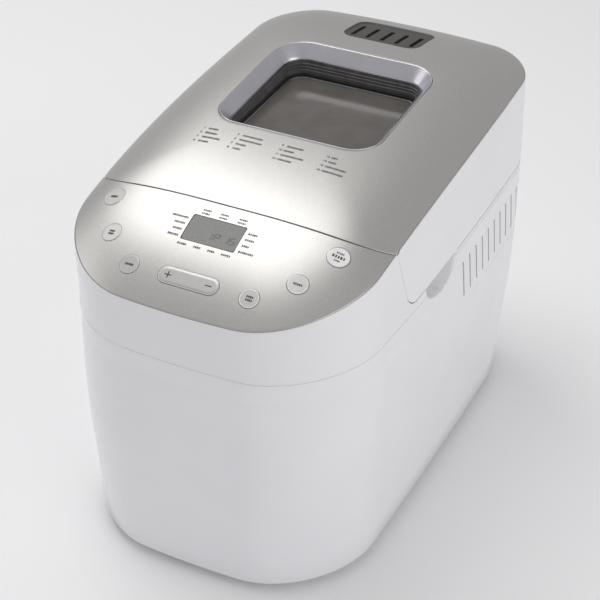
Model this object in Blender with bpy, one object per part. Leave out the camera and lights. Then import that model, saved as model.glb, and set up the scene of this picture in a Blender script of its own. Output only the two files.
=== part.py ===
"""Twin-paddle bread machine with a domed silver top, a front keypad and a rear-hinged lid.

Frame: +X right, -Y front, +Z up, origin under the middle of the machine, on the surface it stands on.
"""

import math

import bmesh
import bpy
import numpy as np
from mathutils import Matrix, Vector

for old in list(bpy.data.objects):
    bpy.data.objects.remove(old, do_unlink=True)

# ---- driving dimensions, in metres ----
WIDTH = 0.2742  # across the waist
DEPTH = 0.4474  # front of the base to the back of the hinge barrels
HEIGHT = 0.3277  # stand to the top of the crown
GAP = 0.0003  # between pieces that rest on or sit in each other
WALL = 0.0025  # moulded walls
RUN = 0.0004  # running clearance round shafts and pins

# outer form: base, waist and rim rings, each a swollen rounded rectangle
BASE_Z = 0.008
WAIST_Z = 0.128
RIM_Z = 0.235
BASE_TUCK = 0.0047  # the base is this much narrower than the waist, each side
RIM_TUCK = 0.0020
WAIST_RAKE_FRONT = 0.0014
RIM_RAKE_FRONT = 0.0049
WAIST_RAKE_REAR = 0.0140  # the back leans in towards the base
BASE_RAKE_REAR = 0.0281
CORNER_FRONT = 0.0796
CORNER_FRONT_BASE = 0.0826
CORNER_REAR = 0.0483
CORNER_REAR_BASE = 0.0655
SWELL = 0.0459  # share by which the sides bow out at the middle
SWELL_BASE = 0.023
END_SWELL = 0.0098  # bow of the front and back
LIP = 0.0011  # white edge outside the silver

# crown of the silver top
CROWN_FALL = 0.0031  # from the peak to the height over the origin
CROWN_SLOPE = 0.0607
CROWN_BOW = -0.2755  # per metre
CROWN_TAIL = 0.664  # per square metre
CROWN_DROP = 0.0255  # roll-off at the edge
CROWN_POWER = 4.18
SKIN = 0.0020  # silver skins, measured upright
SKIN_SEAT = 0.0010  # walls stop this far under a skin
COVER_HUB_Y = 0.052  # the cover's facets run in to this place on the middle line

# parting between console and lid
SEAM_Z = 0.222
SEAM_HALF = 0.0004
SEAM_MIDDLE = -0.1162
SEAM_INSET = 0.0031  # the bow of the parting is counted from this far inside the waist
SEAM_BOW = 0.0152
SEAM_POWER = 8
SEAM_CROWDING = 1.7  # draws the points along the parting towards its bent ends
SEAM_STEPS = 28  # of the two skins that face each other across it
SEAM_RUN = 0.0212  # the parting leans forward this much from the deck up to SEAM_REF_Z
SEAM_REF_DROP = 0.0442  # below the peak, where the parting passes SEAM_MIDDLE
SEAM_FILLET = 0.014
CREASE_FRONT = 0.218  # lower edge of the collar at the front, at the finger recess and behind it
CREASE_SIDE = 0.211
CREASE_REAR = 0.218

# finger recess, a half-oval under the lid's edge
RECESS_Y = -0.018
RECESS_HALF = 0.032
RECESS_DROP = 0.0215
RECESS_DEPTH = 0.0105

# side louvres
SLOT_COUNT = 10
SLOT_PITCH = 0.0145
SLOT_FIRST_Y = 0.030
SLOT_LOW = 0.163
SLOT_HIGH = 0.200
SLOT_WIDTH = 0.0026
SLOT_LEAN = 0.003  # the top of a slot stands this much further forward

# window and steam grille
WINDOW_Y = 0.0424
WINDOW_HALF_X = 0.0755
WINDOW_HALF_Y = 0.0725
WINDOW_RADIUS = 0.028
BEZEL_WIDTH = 0.0100
BEZEL_DROP = 0.0110
BEZEL_WALL = 0.0015
GLASS_DROP = 0.0290  # outer glass below the peak
GLASS = 0.0032
GLASS_LAP = 0.0020  # glass and gasket reach this far under the bezel
BEZEL_FLARE = 0.0010
GASKET = 0.0029
GRILLE_Y = 0.1675
GRILLE_HALF_X = 0.0370
GRILLE_HALF_Y = 0.0245
GRILLE_RADIUS = 0.0120
GRILLE_THICK = 0.0030
GRILLE_SLOTS = 5
GRILLE_PITCH = 0.0142
GRILLE_SLOT_WIDTH = 0.0040
GRILLE_SLOT_LOW_Y = 0.1495
GRILLE_SLOT_HIGH_Y = 0.1770

# keypad: place of each round key, and its radius
KEYS = {
    "menu_key": (-0.1003, -0.1374, 0.0095),
    "loaf_size_key": (-0.0826, -0.1710, 0.00875),
    "dough_key": (-0.0529, -0.1936, 0.0085),
    "home_made_key": (0.0529, -0.1936, 0.0085),
    "color_key": (0.0826, -0.1710, 0.00875),
    "start_stop_key": (0.1003, -0.1374, 0.0095),
}
KEY_THICK = 0.0030
KEY_PROUD = 0.0002
KEY_GAP = 0.00025
KEY_STEM = 0.0025
KEY_TRAVEL = 0.0008
ROCKER_Y = -0.1937
ROCKER_HALF_X = 0.0268
ROCKER_HALF_Y = 0.0078
DISPLAY_Y = -0.1526
DISPLAY_HALF_X = 0.0236
DISPLAY_HALF_Y = 0.0125
LENS = 0.0020
MODULE_HALF_X = 0.0300
MODULE_HALF_Y = 0.0165
MODULE_THICK = 0.0080
MODULE_CLEAR = 0.0016  # below the lens
BOARD_Y = -0.1374
BOARD_DROP = 0.0120  # board below the lowest key's seat
BOARD_TILT = 0.302
BOARD_THICK = 0.0016
BOARD_HALF_X = 0.108
BOARD_REAR = -0.128
BOARD_CORNER = -0.160
BOARD_FRONT = -0.200
BOARD_FRONT_HALF = 0.072
KEY_CLEAR = 0.0006  # pressed stem above the board
RIB_HALF_X = 0.0015
RIB_HALF_Y = 0.0040
RIB_CLEAR = 0.0012
LENS_SINK = 0.0004
LENS_EDGE = 0.0003

# baking chamber and pan
CHAMBER_Y = 0.060
CHAMBER_HALF_X = 0.092
CHAMBER_HALF_Y = 0.114
CHAMBER_RADIUS = 0.034
CHAMBER_FLOOR = 0.0462
SHEET = 0.0010
CHAMBER_FLANGE = 0.006
DECK = 0.0030
PAN_HALF_X = 0.070
PAN_HALF_Y = 0.098
PAN_TAPER = 0.005
PAN_RADIUS = 0.030
PAN_FLOOR = 0.0640
PAN_TOP = 0.2005
PAN_WALL = 0.0015
PAN_RIM = 0.005
RING_HALF_X = 0.034
RING_HALF_Y = 0.080
RING_WALL = 0.003
CLIP_WIDTH = 0.024
CLIP_THICK = 0.001
HANDLE_Z = 0.2055
HANDLE_ARM = 0.045
HANDLE_HALF_X = 0.0785
HANDLE_WIRE = 0.0025
EAR_X = 0.0725
EAR_THICK = 0.003
ELEMENT_Z = 0.072
ELEMENT_HALF_X = 0.079
ELEMENT_HALF_Y = 0.1035
ELEMENT_WIRE = 0.0035
ELEMENT_RADIUS = 0.030  # of its corners
TERMINAL_X = 0.020
TERMINAL_DEPTH = 0.010
INSULATOR = 0.0062
PROBE = 0.0025
PROBE_HEAD = 0.0055
PROBE_Z = 0.110
FUSE_LOW = 0.150
FUSE_DEPTH = 0.012
BUSHING = 0.0067
BUSHING_HEIGHT = 0.0060  # above the underside of the pan's floor
BUSHING_PLATE = 0.003
BUSHING_PLATE_HALF = 0.0145

# drive
PADDLE_SPACING = 0.092
PADDLE_REACH = 0.043
PADDLE_SWEEP = 0.006  # the fin's tip trails its root by this much
PADDLE_FALL = 0.012  # the fin's crest drops this far to its tip
PADDLE_LIFT = 0.0020  # fin above the pan's floor
HUB = 0.009
SHAFT = 0.0040
SHAFT_LOW = 0.0128
PAN_SHAFT_TOP = 0.0945
DOG_LIFT = 0.0008  # coupling above the chamber's floor
DOG_DISC = 0.0025
DOG_RADIUS = 0.017
DOG_HALF = 0.0035  # half width of the lugs and of the wings they push
DOG_IN = 0.0095
DOG_OUT = 0.0155
BAR_LIFT = 0.0020
BAR_HEIGHT = 0.0050
BAR_HUB = 0.008
BAR_REACH = 0.016
PULLEY = 0.030
PULLEY_FLANGE = 0.033
PULLEY_LOW = 0.0132
PULLEY_DISH = 0.004
TRACK = 0.0058
FLANGE = 0.0010
BEARING = 0.015
BEARING_SPIGOT = 0.009
BEARING_SINK = 0.0015  # spigot below the chassis sheet
BELT_THICK = 0.0015
BELT_GAP = 0.0005
MOTOR_Y = -0.150
MOTOR_RADIUS = 0.030
MOTOR_HEIGHT = 0.070
MOTOR_SHAFT = 0.003
MOTOR_BOSS = 0.008
MOTOR_PULLEY = 0.007
CHASSIS_Z = 0.030
CHASSIS_HALF_X = 0.060
CHASSIS_FRONT = -0.190
CHASSIS_REAR = 0.140
CHASSIS_SHEET = 0.002
PLATE_THICK = 0.003
PLATE_VENTS = 6
PLATE_VENT_PITCH = 0.012
PLATE_VENT_WIDTH = 0.004
PLATE_VENT_FRONT = -0.060
PLATE_VENT_REAR = -0.020
POWER_BOARD_X = -0.091
POWER_BOARD_Y = -0.125
POWER_BOARD_Z = 0.018
POWER_BOARD_HALF_X = 0.025
POWER_BOARD_HALF_Y = 0.040
TRANSFORMER = 0.0204
RELAY = 0.0164
CAPACITOR = 0.0224
CAPACITOR_RADIUS = 0.008

# lid inside, hinge, feet
DOME_FOOT_Z = 0.2250
DOME_TOP_Z = 0.2590
DOME_LEAN = 0.008
LINER_PLAY = 0.0012  # liner to skirt
LINER_WINDOW_X = 0.056
LINER_WINDOW_Y = 0.054
LINER_WINDOW_RADIUS = 0.020
INNER_GLASS_LAP = 0.006
SEAL_WIDTH = 0.004
HINGE_X = 0.070
BARREL = 0.0050
BARREL_HALF = 0.0090
PIN = 0.0020
LUG = 0.0020
LUG_RADIUS = 0.0042
LUG_CLEAR = 0.0020  # between the lugs and the inside of the skirt
LUG_HEIGHT = 0.020
NOTCH_HALF = 0.0140
NOTCH_DEEP = 0.0065  # forward of the barrel
NOTCH_DROP = 0.006  # below the barrel
ARM_REACH = 0.016
FOOT_RADIUS = 0.0110
FEET = {
    "foot_front_left": (-0.092, -0.172),
    "foot_front_right": (0.092, -0.172),
    "foot_rear_left": (-0.086, 0.140),
    "foot_rear_right": (0.086, 0.140),
}
GLAND_X = 0.060
GLAND_Z = 0.030
GLAND_RADIUS = 0.0070
CORD_RADIUS = 0.0035

# worked out from the above
FRONT = -DEPTH / 2
REAR = DEPTH / 2 - BARREL
PADDLE_Y = (CHAMBER_Y - PADDLE_SPACING / 2, CHAMBER_Y + PADDLE_SPACING / 2)
LID_LOW = SEAM_Z + SEAM_HALF
DECK_TOP = SEAM_Z - SEAM_HALF
DECK_LOW = DECK_TOP - DECK
GLASS_TOP = HEIGHT - GLASS_DROP
HINGE_AXIS = Vector((0.0, REAR, SEAM_Z))
SEAM_SIDE_X = WIDTH / 2 - SEAM_INSET
SEAM_REF_Z = HEIGHT - SEAM_REF_DROP
SEAM_LEAN = SEAM_RUN / (SEAM_REF_Z - SEAM_Z)
LUG_SET = WALL + LUG_RADIUS + LUG_CLEAR  # inside the hinge line
CHAMBER_FRONT = CHAMBER_Y - CHAMBER_HALF_Y
DOG_LOW = CHAMBER_FLOOR + DOG_LIFT
BAR_LOW = DOG_LOW + DOG_DISC + BAR_LIFT
BAR_HIGH = BAR_LOW + BAR_HEIGHT
SHAFT_HIGH = DOG_LOW + DOG_DISC + RUN

FINISH = {  # colour (linear), roughness, metallic
    "white": ((0.83, 0.83, 0.85), 0.25, 0.0),
    "silver": ((0.50, 0.49, 0.47), 0.38, 0.6),
    "satin": ((0.52, 0.50, 0.52), 0.30, 0.9),
    "dark": ((0.06, 0.055, 0.05), 0.45, 0.0),
    "black": ((0.02, 0.02, 0.02), 0.60, 0.0),
    "lens": ((0.08, 0.08, 0.06), 0.15, 0.0),
    "glass": ((0.25, 0.24, 0.22), 0.05, 0.0),
    "steel": ((0.55, 0.55, 0.55), 0.35, 1.0),
    "coating": ((0.04, 0.04, 0.045), 0.50, 0.0),
    "board": ((0.02, 0.14, 0.05), 0.50, 0.0),
    "ceramic": ((0.75, 0.72, 0.65), 0.60, 0.0),
    "bronze": ((0.45, 0.28, 0.12), 0.40, 1.0),
    "key": ((0.58, 0.57, 0.56), 0.35, 0.3),
}


# ---- building tools ----
def finish_for(name, kind):
    colour, roughness, metallic = FINISH[kind]
    material = bpy.data.materials.new(name + "_" + kind)
    material.use_nodes = True
    shader = material.node_tree.nodes["Principled BSDF"]
    shader.inputs["Base Color"].default_value = (*colour, 1.0)
    shader.inputs["Roughness"].default_value = roughness
    shader.inputs["Metallic"].default_value = metallic
    return material


def add(name, bm, kind=None):
    """Make an object of a bmesh. With no kind it only shapes others and stays out of the model."""
    bmesh.ops.remove_doubles(bm, verts=bm.verts, dist=1e-7)
    bmesh.ops.recalc_face_normals(bm, faces=bm.faces)
    mesh = bpy.data.meshes.new(name)
    bm.to_mesh(mesh)
    bm.free()
    piece = bpy.data.objects.new(name, mesh)
    bpy.context.scene.collection.objects.link(piece)
    if kind:
        mesh.materials.append(finish_for(name, kind))
        mesh.shade_smooth()
        mesh.set_sharp_from_angle(angle=math.radians(30))
    else:
        piece.hide_render = True
        piece.display_type = "WIRE"
    return piece


def boolean(piece, other, operation="DIFFERENCE"):
    step = piece.modifiers.new(operation.lower() + "_" + other.name, "BOOLEAN")
    step.operation = operation
    step.object = other
    step.solver = "EXACT"


def loft(bm, loops, closed=False):
    """Bridge equal loops of points in turn. Open lofts are capped, closed ones return to the first."""
    rings = []
    for loop in loops:
        verts = [bm.verts.new(point) for point in loop]
        edges = [bm.edges.new((verts[i - 1], verts[i])) for i in range(len(verts))]
        rings.append((verts, edges))
    pairs = list(zip(rings, rings[1:]))
    if closed:
        pairs.append((rings[-1], rings[0]))
    for (low, _), (high, _) in pairs:
        for i in range(len(low)):
            bm.faces.new((low[i - 1], low[i], high[i], high[i - 1]))
    if not closed:
        bm.faces.new(rings[0][0])
        bm.faces.new(rings[-1][0])
    return rings


def solid(name, loops, kind=None, closed=False):
    bm = bmesh.new()
    loft(bm, loops, closed)
    return add(name, bm, kind)


def block(bm, low, high, turn=None):
    """A box between two corners, turned about its own middle when a rotation is given."""
    low, high = Vector(low), Vector(high)
    place = Matrix.Translation((low + high) / 2)
    if turn:
        place = place @ turn
    size = Matrix.Diagonal((*(high - low), 1.0))
    bmesh.ops.create_cube(bm, size=1.0, matrix=place @ size)


def turned(bm, profile, place, steps=24):
    """Spin a closed (radius, height) profile about the Z axis of a placing matrix."""
    verts = [bm.verts.new(place @ Vector((r, 0.0, z))) for r, z in profile]
    edges = [bm.edges.new((verts[i - 1], verts[i])) for i in range(len(verts))]
    axis = place.to_3x3() @ Vector((0, 0, 1))
    bmesh.ops.spin(
        bm, geom=verts + edges, cent=place.translation, axis=axis, angle=math.tau, steps=steps, use_merge=True
    )


def at(x, y, z=0.0):
    return Matrix.Translation((x, y, z))


def disc(bm, radius, low, high, place, steps=24):
    """A solid cylinder along the Z axis of a placing matrix."""
    middle = place @ Matrix.Translation((0, 0, (low + high) / 2))
    bmesh.ops.create_cone(
        bm, cap_ends=True, segments=steps, radius1=radius, radius2=radius, depth=high - low, matrix=middle
    )


def lathed(name, profile, place, steps, kind):
    """Spin an open (radius, height) profile whose ends lie on the Z axis of a placing matrix."""
    bm = bmesh.new()
    verts = [bm.verts.new(place @ Vector((r, 0.0, z))) for r, z in profile]
    edges = [bm.edges.new(pair) for pair in zip(verts, verts[1:])]
    axis = place.to_3x3() @ Vector((0, 0, 1))
    bmesh.ops.spin(
        bm, geom=verts + edges, cent=place.translation, axis=axis, angle=math.tau, steps=steps, use_merge=True
    )
    return add(name, bm, kind)


def tube_profile(inner, outer, low, high):
    return [(inner, low), (outer, low), (outer, high), (inner, high)]


def rounded(half_x, half_y, radius, middle_y, z, steps=4):
    """Loop of a rounded rectangle. z is a height, or a function of x and y."""
    loop = []
    for corner, (sx, sy) in enumerate(((1, 1), (-1, 1), (-1, -1), (1, -1))):
        for i in range(steps + 1):
            angle = math.pi / 2 * (corner + i / steps)
            x = sx * (half_x - radius) + radius * math.cos(angle)
            y = middle_y + sy * (half_y - radius) + radius * math.sin(angle)
            loop.append(Vector((x, y, z(x, y) if callable(z) else z)))
    return loop


# ---- outer form ----
def station(z):
    """Half width, front, rear, front and rear corner radius, and side swell of the plan at a height."""
    half = WIDTH / 2 / (1 + SWELL)
    base = (half - BASE_TUCK, FRONT, REAR - BASE_RAKE_REAR, CORNER_FRONT_BASE, CORNER_REAR_BASE, SWELL_BASE)
    waist = (half, FRONT + WAIST_RAKE_FRONT, REAR - WAIST_RAKE_REAR, CORNER_FRONT, CORNER_REAR, SWELL)
    rim = (half - RIM_TUCK, FRONT + RIM_RAKE_FRONT, REAR, CORNER_FRONT, CORNER_REAR, SWELL)
    heights = (BASE_Z, WAIST_Z, RIM_Z)
    return [float(np.interp(z, heights, values)) for values in zip(base, waist, rim)]


def half_plan(z, inset=0.0, end_steps=4, corner_steps=6, side_steps=6):
    """Right half of the outline at a height, from the front middle to the rear middle."""
    half, front, rear, r_front, r_rear, swell = station(z)
    half, r_front, r_rear = half - inset, r_front - inset, r_rear - inset
    front, rear = front + END_SWELL + inset, rear - END_SWELL - inset
    points = [(x, front) for x in np.linspace(0, half - r_front, end_steps)[:-1]]
    for radius, middle_y, start in ((r_front, front + r_front, -90), (r_rear, rear - r_rear, 0)):
        if start == 0:
            run = np.linspace(front + r_front, rear - r_rear, side_steps)[1:-1]
            points += [(half, y) for y in run]
        for angle in np.radians(np.linspace(start, start + 90, corner_steps)):
            points.append((half - radius + radius * math.cos(angle), middle_y + radius * math.sin(angle)))
    points += [(x, rear) for x in np.linspace(half - r_rear, 0, end_steps)[1:]]
    middle, length = (front + rear) / 2, (rear - front) / 2
    swollen = []
    for x, y in points:
        along, across = (y - middle) / length, x / half
        end = math.copysign(END_SWELL * (1 - across**2) * along**2, along)
        swollen.append((x * (1 + swell * (1 - along**2)), y + end))
    return swollen


def mirrored(half):
    """Close a right half by its mirror image. The ends lie on the middle line."""
    return half + [(-x, y) for x, y in reversed(half[1:-1])]


def ring(z, inset=0.0, height=None):
    """Whole outline at a station height. height may be a function of x and y that sets z instead."""
    return [Vector((x, y, height(x, y) if height else z)) for x, y in mirrored(half_plan(z, inset))]


SILVER = np.array(half_plan(RIM_Z, LIP, 20, 30, 30))
SILVER_MIDDLE = (SILVER[0][1] + SILVER[-1][1]) / 2
SILVER_ANGLE = np.arctan2(SILVER[:, 1] - SILVER_MIDDLE, SILVER[:, 0])
SILVER_RADIUS = np.hypot(SILVER[:, 0], SILVER[:, 1] - SILVER_MIDDLE)


def crown_z(x, y):
    """Height of the silver top: a gentle spine that rolls off towards the outline."""
    along = y - SILVER_MIDDLE
    edge = np.interp(math.atan2(along, abs(x)), SILVER_ANGLE, SILVER_RADIUS)
    share = math.hypot(x, along) / edge
    spine = CROWN_SLOPE * y + CROWN_BOW * y**2 + CROWN_TAIL * y**3
    return float(HEIGHT - CROWN_FALL + spine - CROWN_DROP * share**CROWN_POWER)


def below_crown(drop):
    return lambda x, y: crown_z(x, y) - drop


def crown_normal(x, y):
    step = 0.001
    slope_x = (crown_z(x + step, y) - crown_z(x - step, y)) / (2 * step)
    slope_y = (crown_z(x, y + step) - crown_z(x, y - step)) / (2 * step)
    return Vector((-slope_x, -slope_y, 1.0)).normalized()


def crown_place(x, y, sink=0.0):
    """Matrix whose Z axis leaves the crown squarely at a point."""
    normal = crown_normal(x, y)
    side = Vector((1, 0, 0))
    up = normal.cross(side).normalized()
    side = up.cross(normal)
    turn = Matrix((side, up, normal)).transposed().to_4x4()
    return Matrix.Translation(Vector((x, y, crown_z(x, y))) - normal * sink) @ turn


def seam_y(x, z, shift=0.0):
    """Parting face between console and lid; shift moves it back, into the lid, and up."""
    across = min(abs(x) / SEAM_SIDE_X, 1.0)
    rise = z - (SEAM_Z + shift)
    share = min(max(1 - rise / SEAM_FILLET, 0.0), 1.0)
    fillet = SEAM_FILLET * (1 - math.sqrt(1 - share**2))
    lean = SEAM_LEAN * (max(z, SEAM_Z + shift) - SEAM_REF_Z)
    return SEAM_MIDDLE + SEAM_BOW * across**SEAM_POWER - lean + fillet + shift


def split(z, inset, lid, shift, height=None, outer_steps=16, seam_steps=12):
    """Loop round the part of the plan behind (lid) or before the parting. height as in ring."""
    dense = half_plan(z, inset, 12, 16, 24)

    def level(x, y):
        return height(x, y) if height else z

    def beyond(point):
        return point[1] - seam_y(point[0], level(*point), shift)

    cross = next(i for i in range(1, len(dense)) if beyond(dense[i]) >= 0)
    a, b = dense[cross - 1], dense[cross]
    share = beyond(a) / (beyond(a) - beyond(b))
    corner = (a[0] + (b[0] - a[0]) * share, a[1] + (b[1] - a[1]) * share)
    run = [corner] + dense[cross:] if lid else dense[:cross] + [corner]
    run = np.array(run)
    length = np.r_[0, np.cumsum(np.hypot(*np.diff(run, axis=0).T))]
    marks = np.linspace(0, length[-1], outer_steps + 1)
    half = [(float(np.interp(m, length, run[:, 0])), float(np.interp(m, length, run[:, 1]))) for m in marks]
    if not lid:
        half.reverse()
    parting = []
    for t in np.linspace(-1, 1, seam_steps + 1)[1:-1]:
        x = corner[0] * math.copysign(1 - (1 - abs(t)) ** SEAM_CROWDING, t)
        y = corner[1]
        for _ in range(8):
            y = seam_y(x, level(x, y), shift)
        parting.append((x, y))
    loop = half + [(-x, y) for x, y in reversed(half[:-1])] + parting
    return [Vector((x, y, level(x, y))) for x, y in loop]


def crowned_sheet(name, boundary, middle_y, top, thick, kind, shares=(1, 0.95, 0.87, 0.73, 0.5)):
    """A skin that follows the crown inside a boundary loop, top and underside."""
    loops = []
    for share, drop in [(s, top) for s in reversed(shares)] + [(s, top + thick) for s in shares]:
        flat = [(p.x * share, middle_y + (p.y - middle_y) * share) for p in boundary]
        loops.append([Vector((x, y, crown_z(x, y) - drop)) for x, y in flat])
    bm = bmesh.new()
    rings = []
    for loop in loops:
        rings.append([bm.verts.new(p) for p in loop])
    for low, high in zip(rings, rings[1:]):
        for i in range(len(low)):
            bm.faces.new((low[i - 1], low[i], high[i], high[i - 1]))
    for end, drop in ((rings[0], top), (rings[-1], top + thick)):
        hub = bm.verts.new((0.0, middle_y, crown_z(0.0, middle_y) - drop))
        for i in range(len(end)):
            bm.faces.new((end[i - 1], end[i], hub))
    return add(name, bm, kind)


def crowned_lens(name, front, back, thick, kind):
    """A skin that follows the crown between two edges that meet at both ends."""
    shares = (0.0, 0.04, 0.12, 0.25, 0.45, 0.7, 1.0)
    bm = bmesh.new()
    columns = []
    for i, (a, b) in enumerate(zip(front, back)):
        tip = i in (0, len(front) - 1)
        flat = [(a.x + (b.x - a.x) * s, a.y + (b.y - a.y) * s) for s in (shares[:1] if tip else shares)]
        top = [bm.verts.new((x, y, crown_z(x, y))) for x, y in flat]
        low = [bm.verts.new((x, y, crown_z(x, y) - thick)) for x, y in flat]
        if tip:
            top, low = top * len(shares), low * len(shares)
        columns.append(top + low[::-1])
    for left, right in zip(columns, columns[1:]):
        for j in range(len(left)):
            corners = list(dict.fromkeys((left[j - 1], left[j], right[j], right[j - 1])))
            if len(corners) > 2:
                bm.faces.new(corners)
    return add(name, bm, kind)


# ---- cutters shared by several pieces ----
def recess_cutter(name, grow, depth, reach, top):
    """Half-oval prisms, left and right, from a depth inside the waist out to a reach."""
    bm = bmesh.new()
    steps = 12
    drop = RECESS_DROP + grow
    start = math.asin(max(SEAM_Z - top, 0.0) / drop)
    outline = []
    for i in range(steps + 1):
        angle = start + (math.pi - 2 * start) * i / steps
        y = RECESS_Y + (RECESS_HALF + grow) * math.cos(angle)
        outline.append((y, SEAM_Z - drop * math.sin(angle)))
    if top > SEAM_Z:
        outline += [(outline[-1][0], top), (outline[0][0], top)]
    for side in (-1, 1):
        inner = side * (WIDTH / 2 - depth)
        outer = side * (WIDTH / 2 + reach)
        loft(bm, [[(inner, y, z) for y, z in outline], [(outer, y, z) for y, z in outline]])
    return add(name, bm)


def hinge_notches(name, low, high):
    bm = bmesh.new()
    for side in (-1, 1):
        x = side * HINGE_X
        block(bm, (x - NOTCH_HALF, REAR - BARREL - NOTCH_DEEP, low), (x + NOTCH_HALF, REAR + 0.02, high))
    return add(name, bm)


def crease_z(y):
    """Lower edge of the collar: it dips along the sides to the recess and is higher behind it."""
    if y > RECESS_Y:
        return CREASE_REAR
    share = (y - FRONT) / (RECESS_Y - FRONT)
    return CREASE_FRONT + (CREASE_SIDE - CREASE_FRONT) * min(max(share, 0.0), 1.0) ** 2


def crease_ring(inset, drop):
    """Outline along the crease. Inset rings keep the height of the outer point beside them."""
    outer, inner = ring(CREASE_SIDE), ring(CREASE_SIDE, inset)
    return [Vector((p.x, p.y, crease_z(q.y) - drop)) for p, q in zip(inner, outer)]


# ---- body shells ----
def outer_housing():
    outer = [ring(z) for z in (BASE_Z, 0.060, WAIST_Z)] + [crease_ring(0.0, GAP)]
    inner = [crease_ring(WALL, GAP)] + [ring(z, WALL) for z in (WAIST_Z, 0.060, BASE_Z)]
    housing = solid("outer_housing", outer + inner, "white", closed=True)
    boss_low = recess_cutter("recess_boss", 0.0022, RECESS_DEPTH + WALL, -0.0030, CREASE_SIDE - 0.001)
    boolean(housing, boss_low, "UNION")
    boss_high = recess_cutter("recess_boss_high", 0.0022, RECESS_DEPTH + WALL, -0.0056, DECK_LOW - GAP)
    boolean(housing, boss_high, "UNION")
    boolean(housing, recess_cutter("cut_recess", 0.0, RECESS_DEPTH, 0.02, SEAM_Z + 0.01))
    bm = bmesh.new()
    lean = Matrix.Rotation(math.atan2(SLOT_LEAN, SLOT_HIGH - SLOT_LOW), 4, "X")
    for side in (-1, 1):
        for i in range(SLOT_COUNT):
            y = SLOT_FIRST_Y + SLOT_PITCH * i
            x = side * WIDTH / 2
            low = (x - 0.012, y - SLOT_WIDTH / 2, SLOT_LOW)
            block(bm, low, (x + 0.012, y + SLOT_WIDTH / 2, SLOT_HIGH), lean)
    boolean(housing, add("cut_louvres", bm))
    boolean(housing, hinge_notches("cut_housing_notch", SEAM_Z - BARREL - NOTCH_DROP, SEAM_Z))
    bm = bmesh.new()
    disc(bm, GLAND_RADIUS + GAP, -0.02, 0.02, gland_place(), 16)
    boolean(housing, add("cut_gland", bm))
    return housing


def gland_place():
    """Square to the rear wall at the cord outlet."""

    def rear_at(x, z):
        half = half_plan(z, 0.0, 30, 10, 10)
        tail = [p for p in half if p[1] > 0]
        return float(np.interp(x, [p[0] for p in reversed(tail)], [p[1] for p in reversed(tail)]))

    step = 0.002
    y = rear_at(GLAND_X, GLAND_Z)
    slope_x = (rear_at(GLAND_X + step, GLAND_Z) - y) / step
    slope_z = (rear_at(GLAND_X, GLAND_Z + step) - y) / step
    out = Vector((-slope_x, 1.0, -slope_z)).normalized()
    turn = out.to_track_quat("Z", "Y").to_matrix().to_4x4()
    return Matrix.Translation((GLAND_X, y, GLAND_Z)) @ turn


def cord_gland():
    bm = bmesh.new()
    flange = GLAND_RADIUS + 0.0025
    profile = [
        (CORD_RADIUS, -WALL - 0.004),
        (GLAND_RADIUS, -WALL - 0.004),
        (GLAND_RADIUS, GAP),
        (flange, GAP),
        (flange, 0.0025),
        (CORD_RADIUS + 0.001, 0.0045),
        (CORD_RADIUS, 0.0045),
    ]
    turned(bm, profile, gland_place(), 16)
    return add("cord_gland", bm, "dark")


def seam_heights(low):
    """Heights at which a loft follows the fillet at the foot of the parting."""
    return [low] + [SEAM_Z + SEAM_FILLET * k for k in (0.15, 0.5)] + [RIM_Z + 0.002]


def seam_block(name, shift, floor):
    """Everything behind and above the parting, as a cutter; floor is its level underside."""
    level = SEAM_Z + shift
    heights = [level + SEAM_FILLET * k for k in (0.0, 0.05, 0.2, 0.5, 1.0)] + [HEIGHT + 0.06]
    half = [SEAM_SIDE_X * share for share in (0.0, 0.3, 0.6, 0.78, 0.88, 0.95, 1.0)]
    half.append(WIDTH / 2 + 0.023)
    back = REAR + 0.05
    loops = []
    for x in [-x for x in reversed(half[1:])] + half:
        path = [(seam_y(x, z, shift), z) for z in heights]
        path[0] = (path[0][0], floor)
        path += [(back, heights[-1]), (back, floor)]
        loops.append([(x, y, z) for y, z in path])
    return solid(name, loops)


def top_collar():
    under = below_crown(SKIN + SKIN_SEAT)
    outline = [crease_ring(WALL + 0.0015, 0.0), crease_ring(0.0, 0.0)]
    outline += [ring(0.225), ring(RIM_Z), ring(RIM_Z, 0.0, under)]
    bm = bmesh.new()
    rings = loft(bm, outline)
    last = rings[-1][0]
    cap = [face for face in bm.faces if len(face.verts) == len(last) and last[0] in face.verts]
    hub = bmesh.ops.poke(bm, faces=cap)["verts"][0]
    hub.co.z = HEIGHT
    collar = add("top_collar", bm, "white")
    boolean(collar, seam_block("cut_lid_space", -SEAM_HALF, DECK_TOP))
    cavity = solid("cut_collar_inside", [ring(z, WALL) for z in (0.200, 0.225, RIM_Z, HEIGHT + 0.04)])
    boolean(cavity, seam_block("cut_deck_and_bulkhead", -SEAM_HALF - WALL, DECK_LOW))
    boolean(collar, cavity)
    half_x, half_y = CHAMBER_HALF_X - 0.002, CHAMBER_HALF_Y - 0.002
    mouth = [rounded(half_x, half_y, CHAMBER_RADIUS, CHAMBER_Y, z) for z in (0.21, 0.23)]
    boolean(collar, solid("cut_chamber_mouth", mouth))
    boolean(collar, recess_cutter("cut_collar_recess", 0.0, RECESS_DEPTH, 0.02, SEAM_Z + 0.0002))
    boolean(collar, hinge_notches("cut_collar_notch", SEAM_Z - BARREL - NOTCH_DROP, SEAM_Z + 0.002))
    return collar


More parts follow.
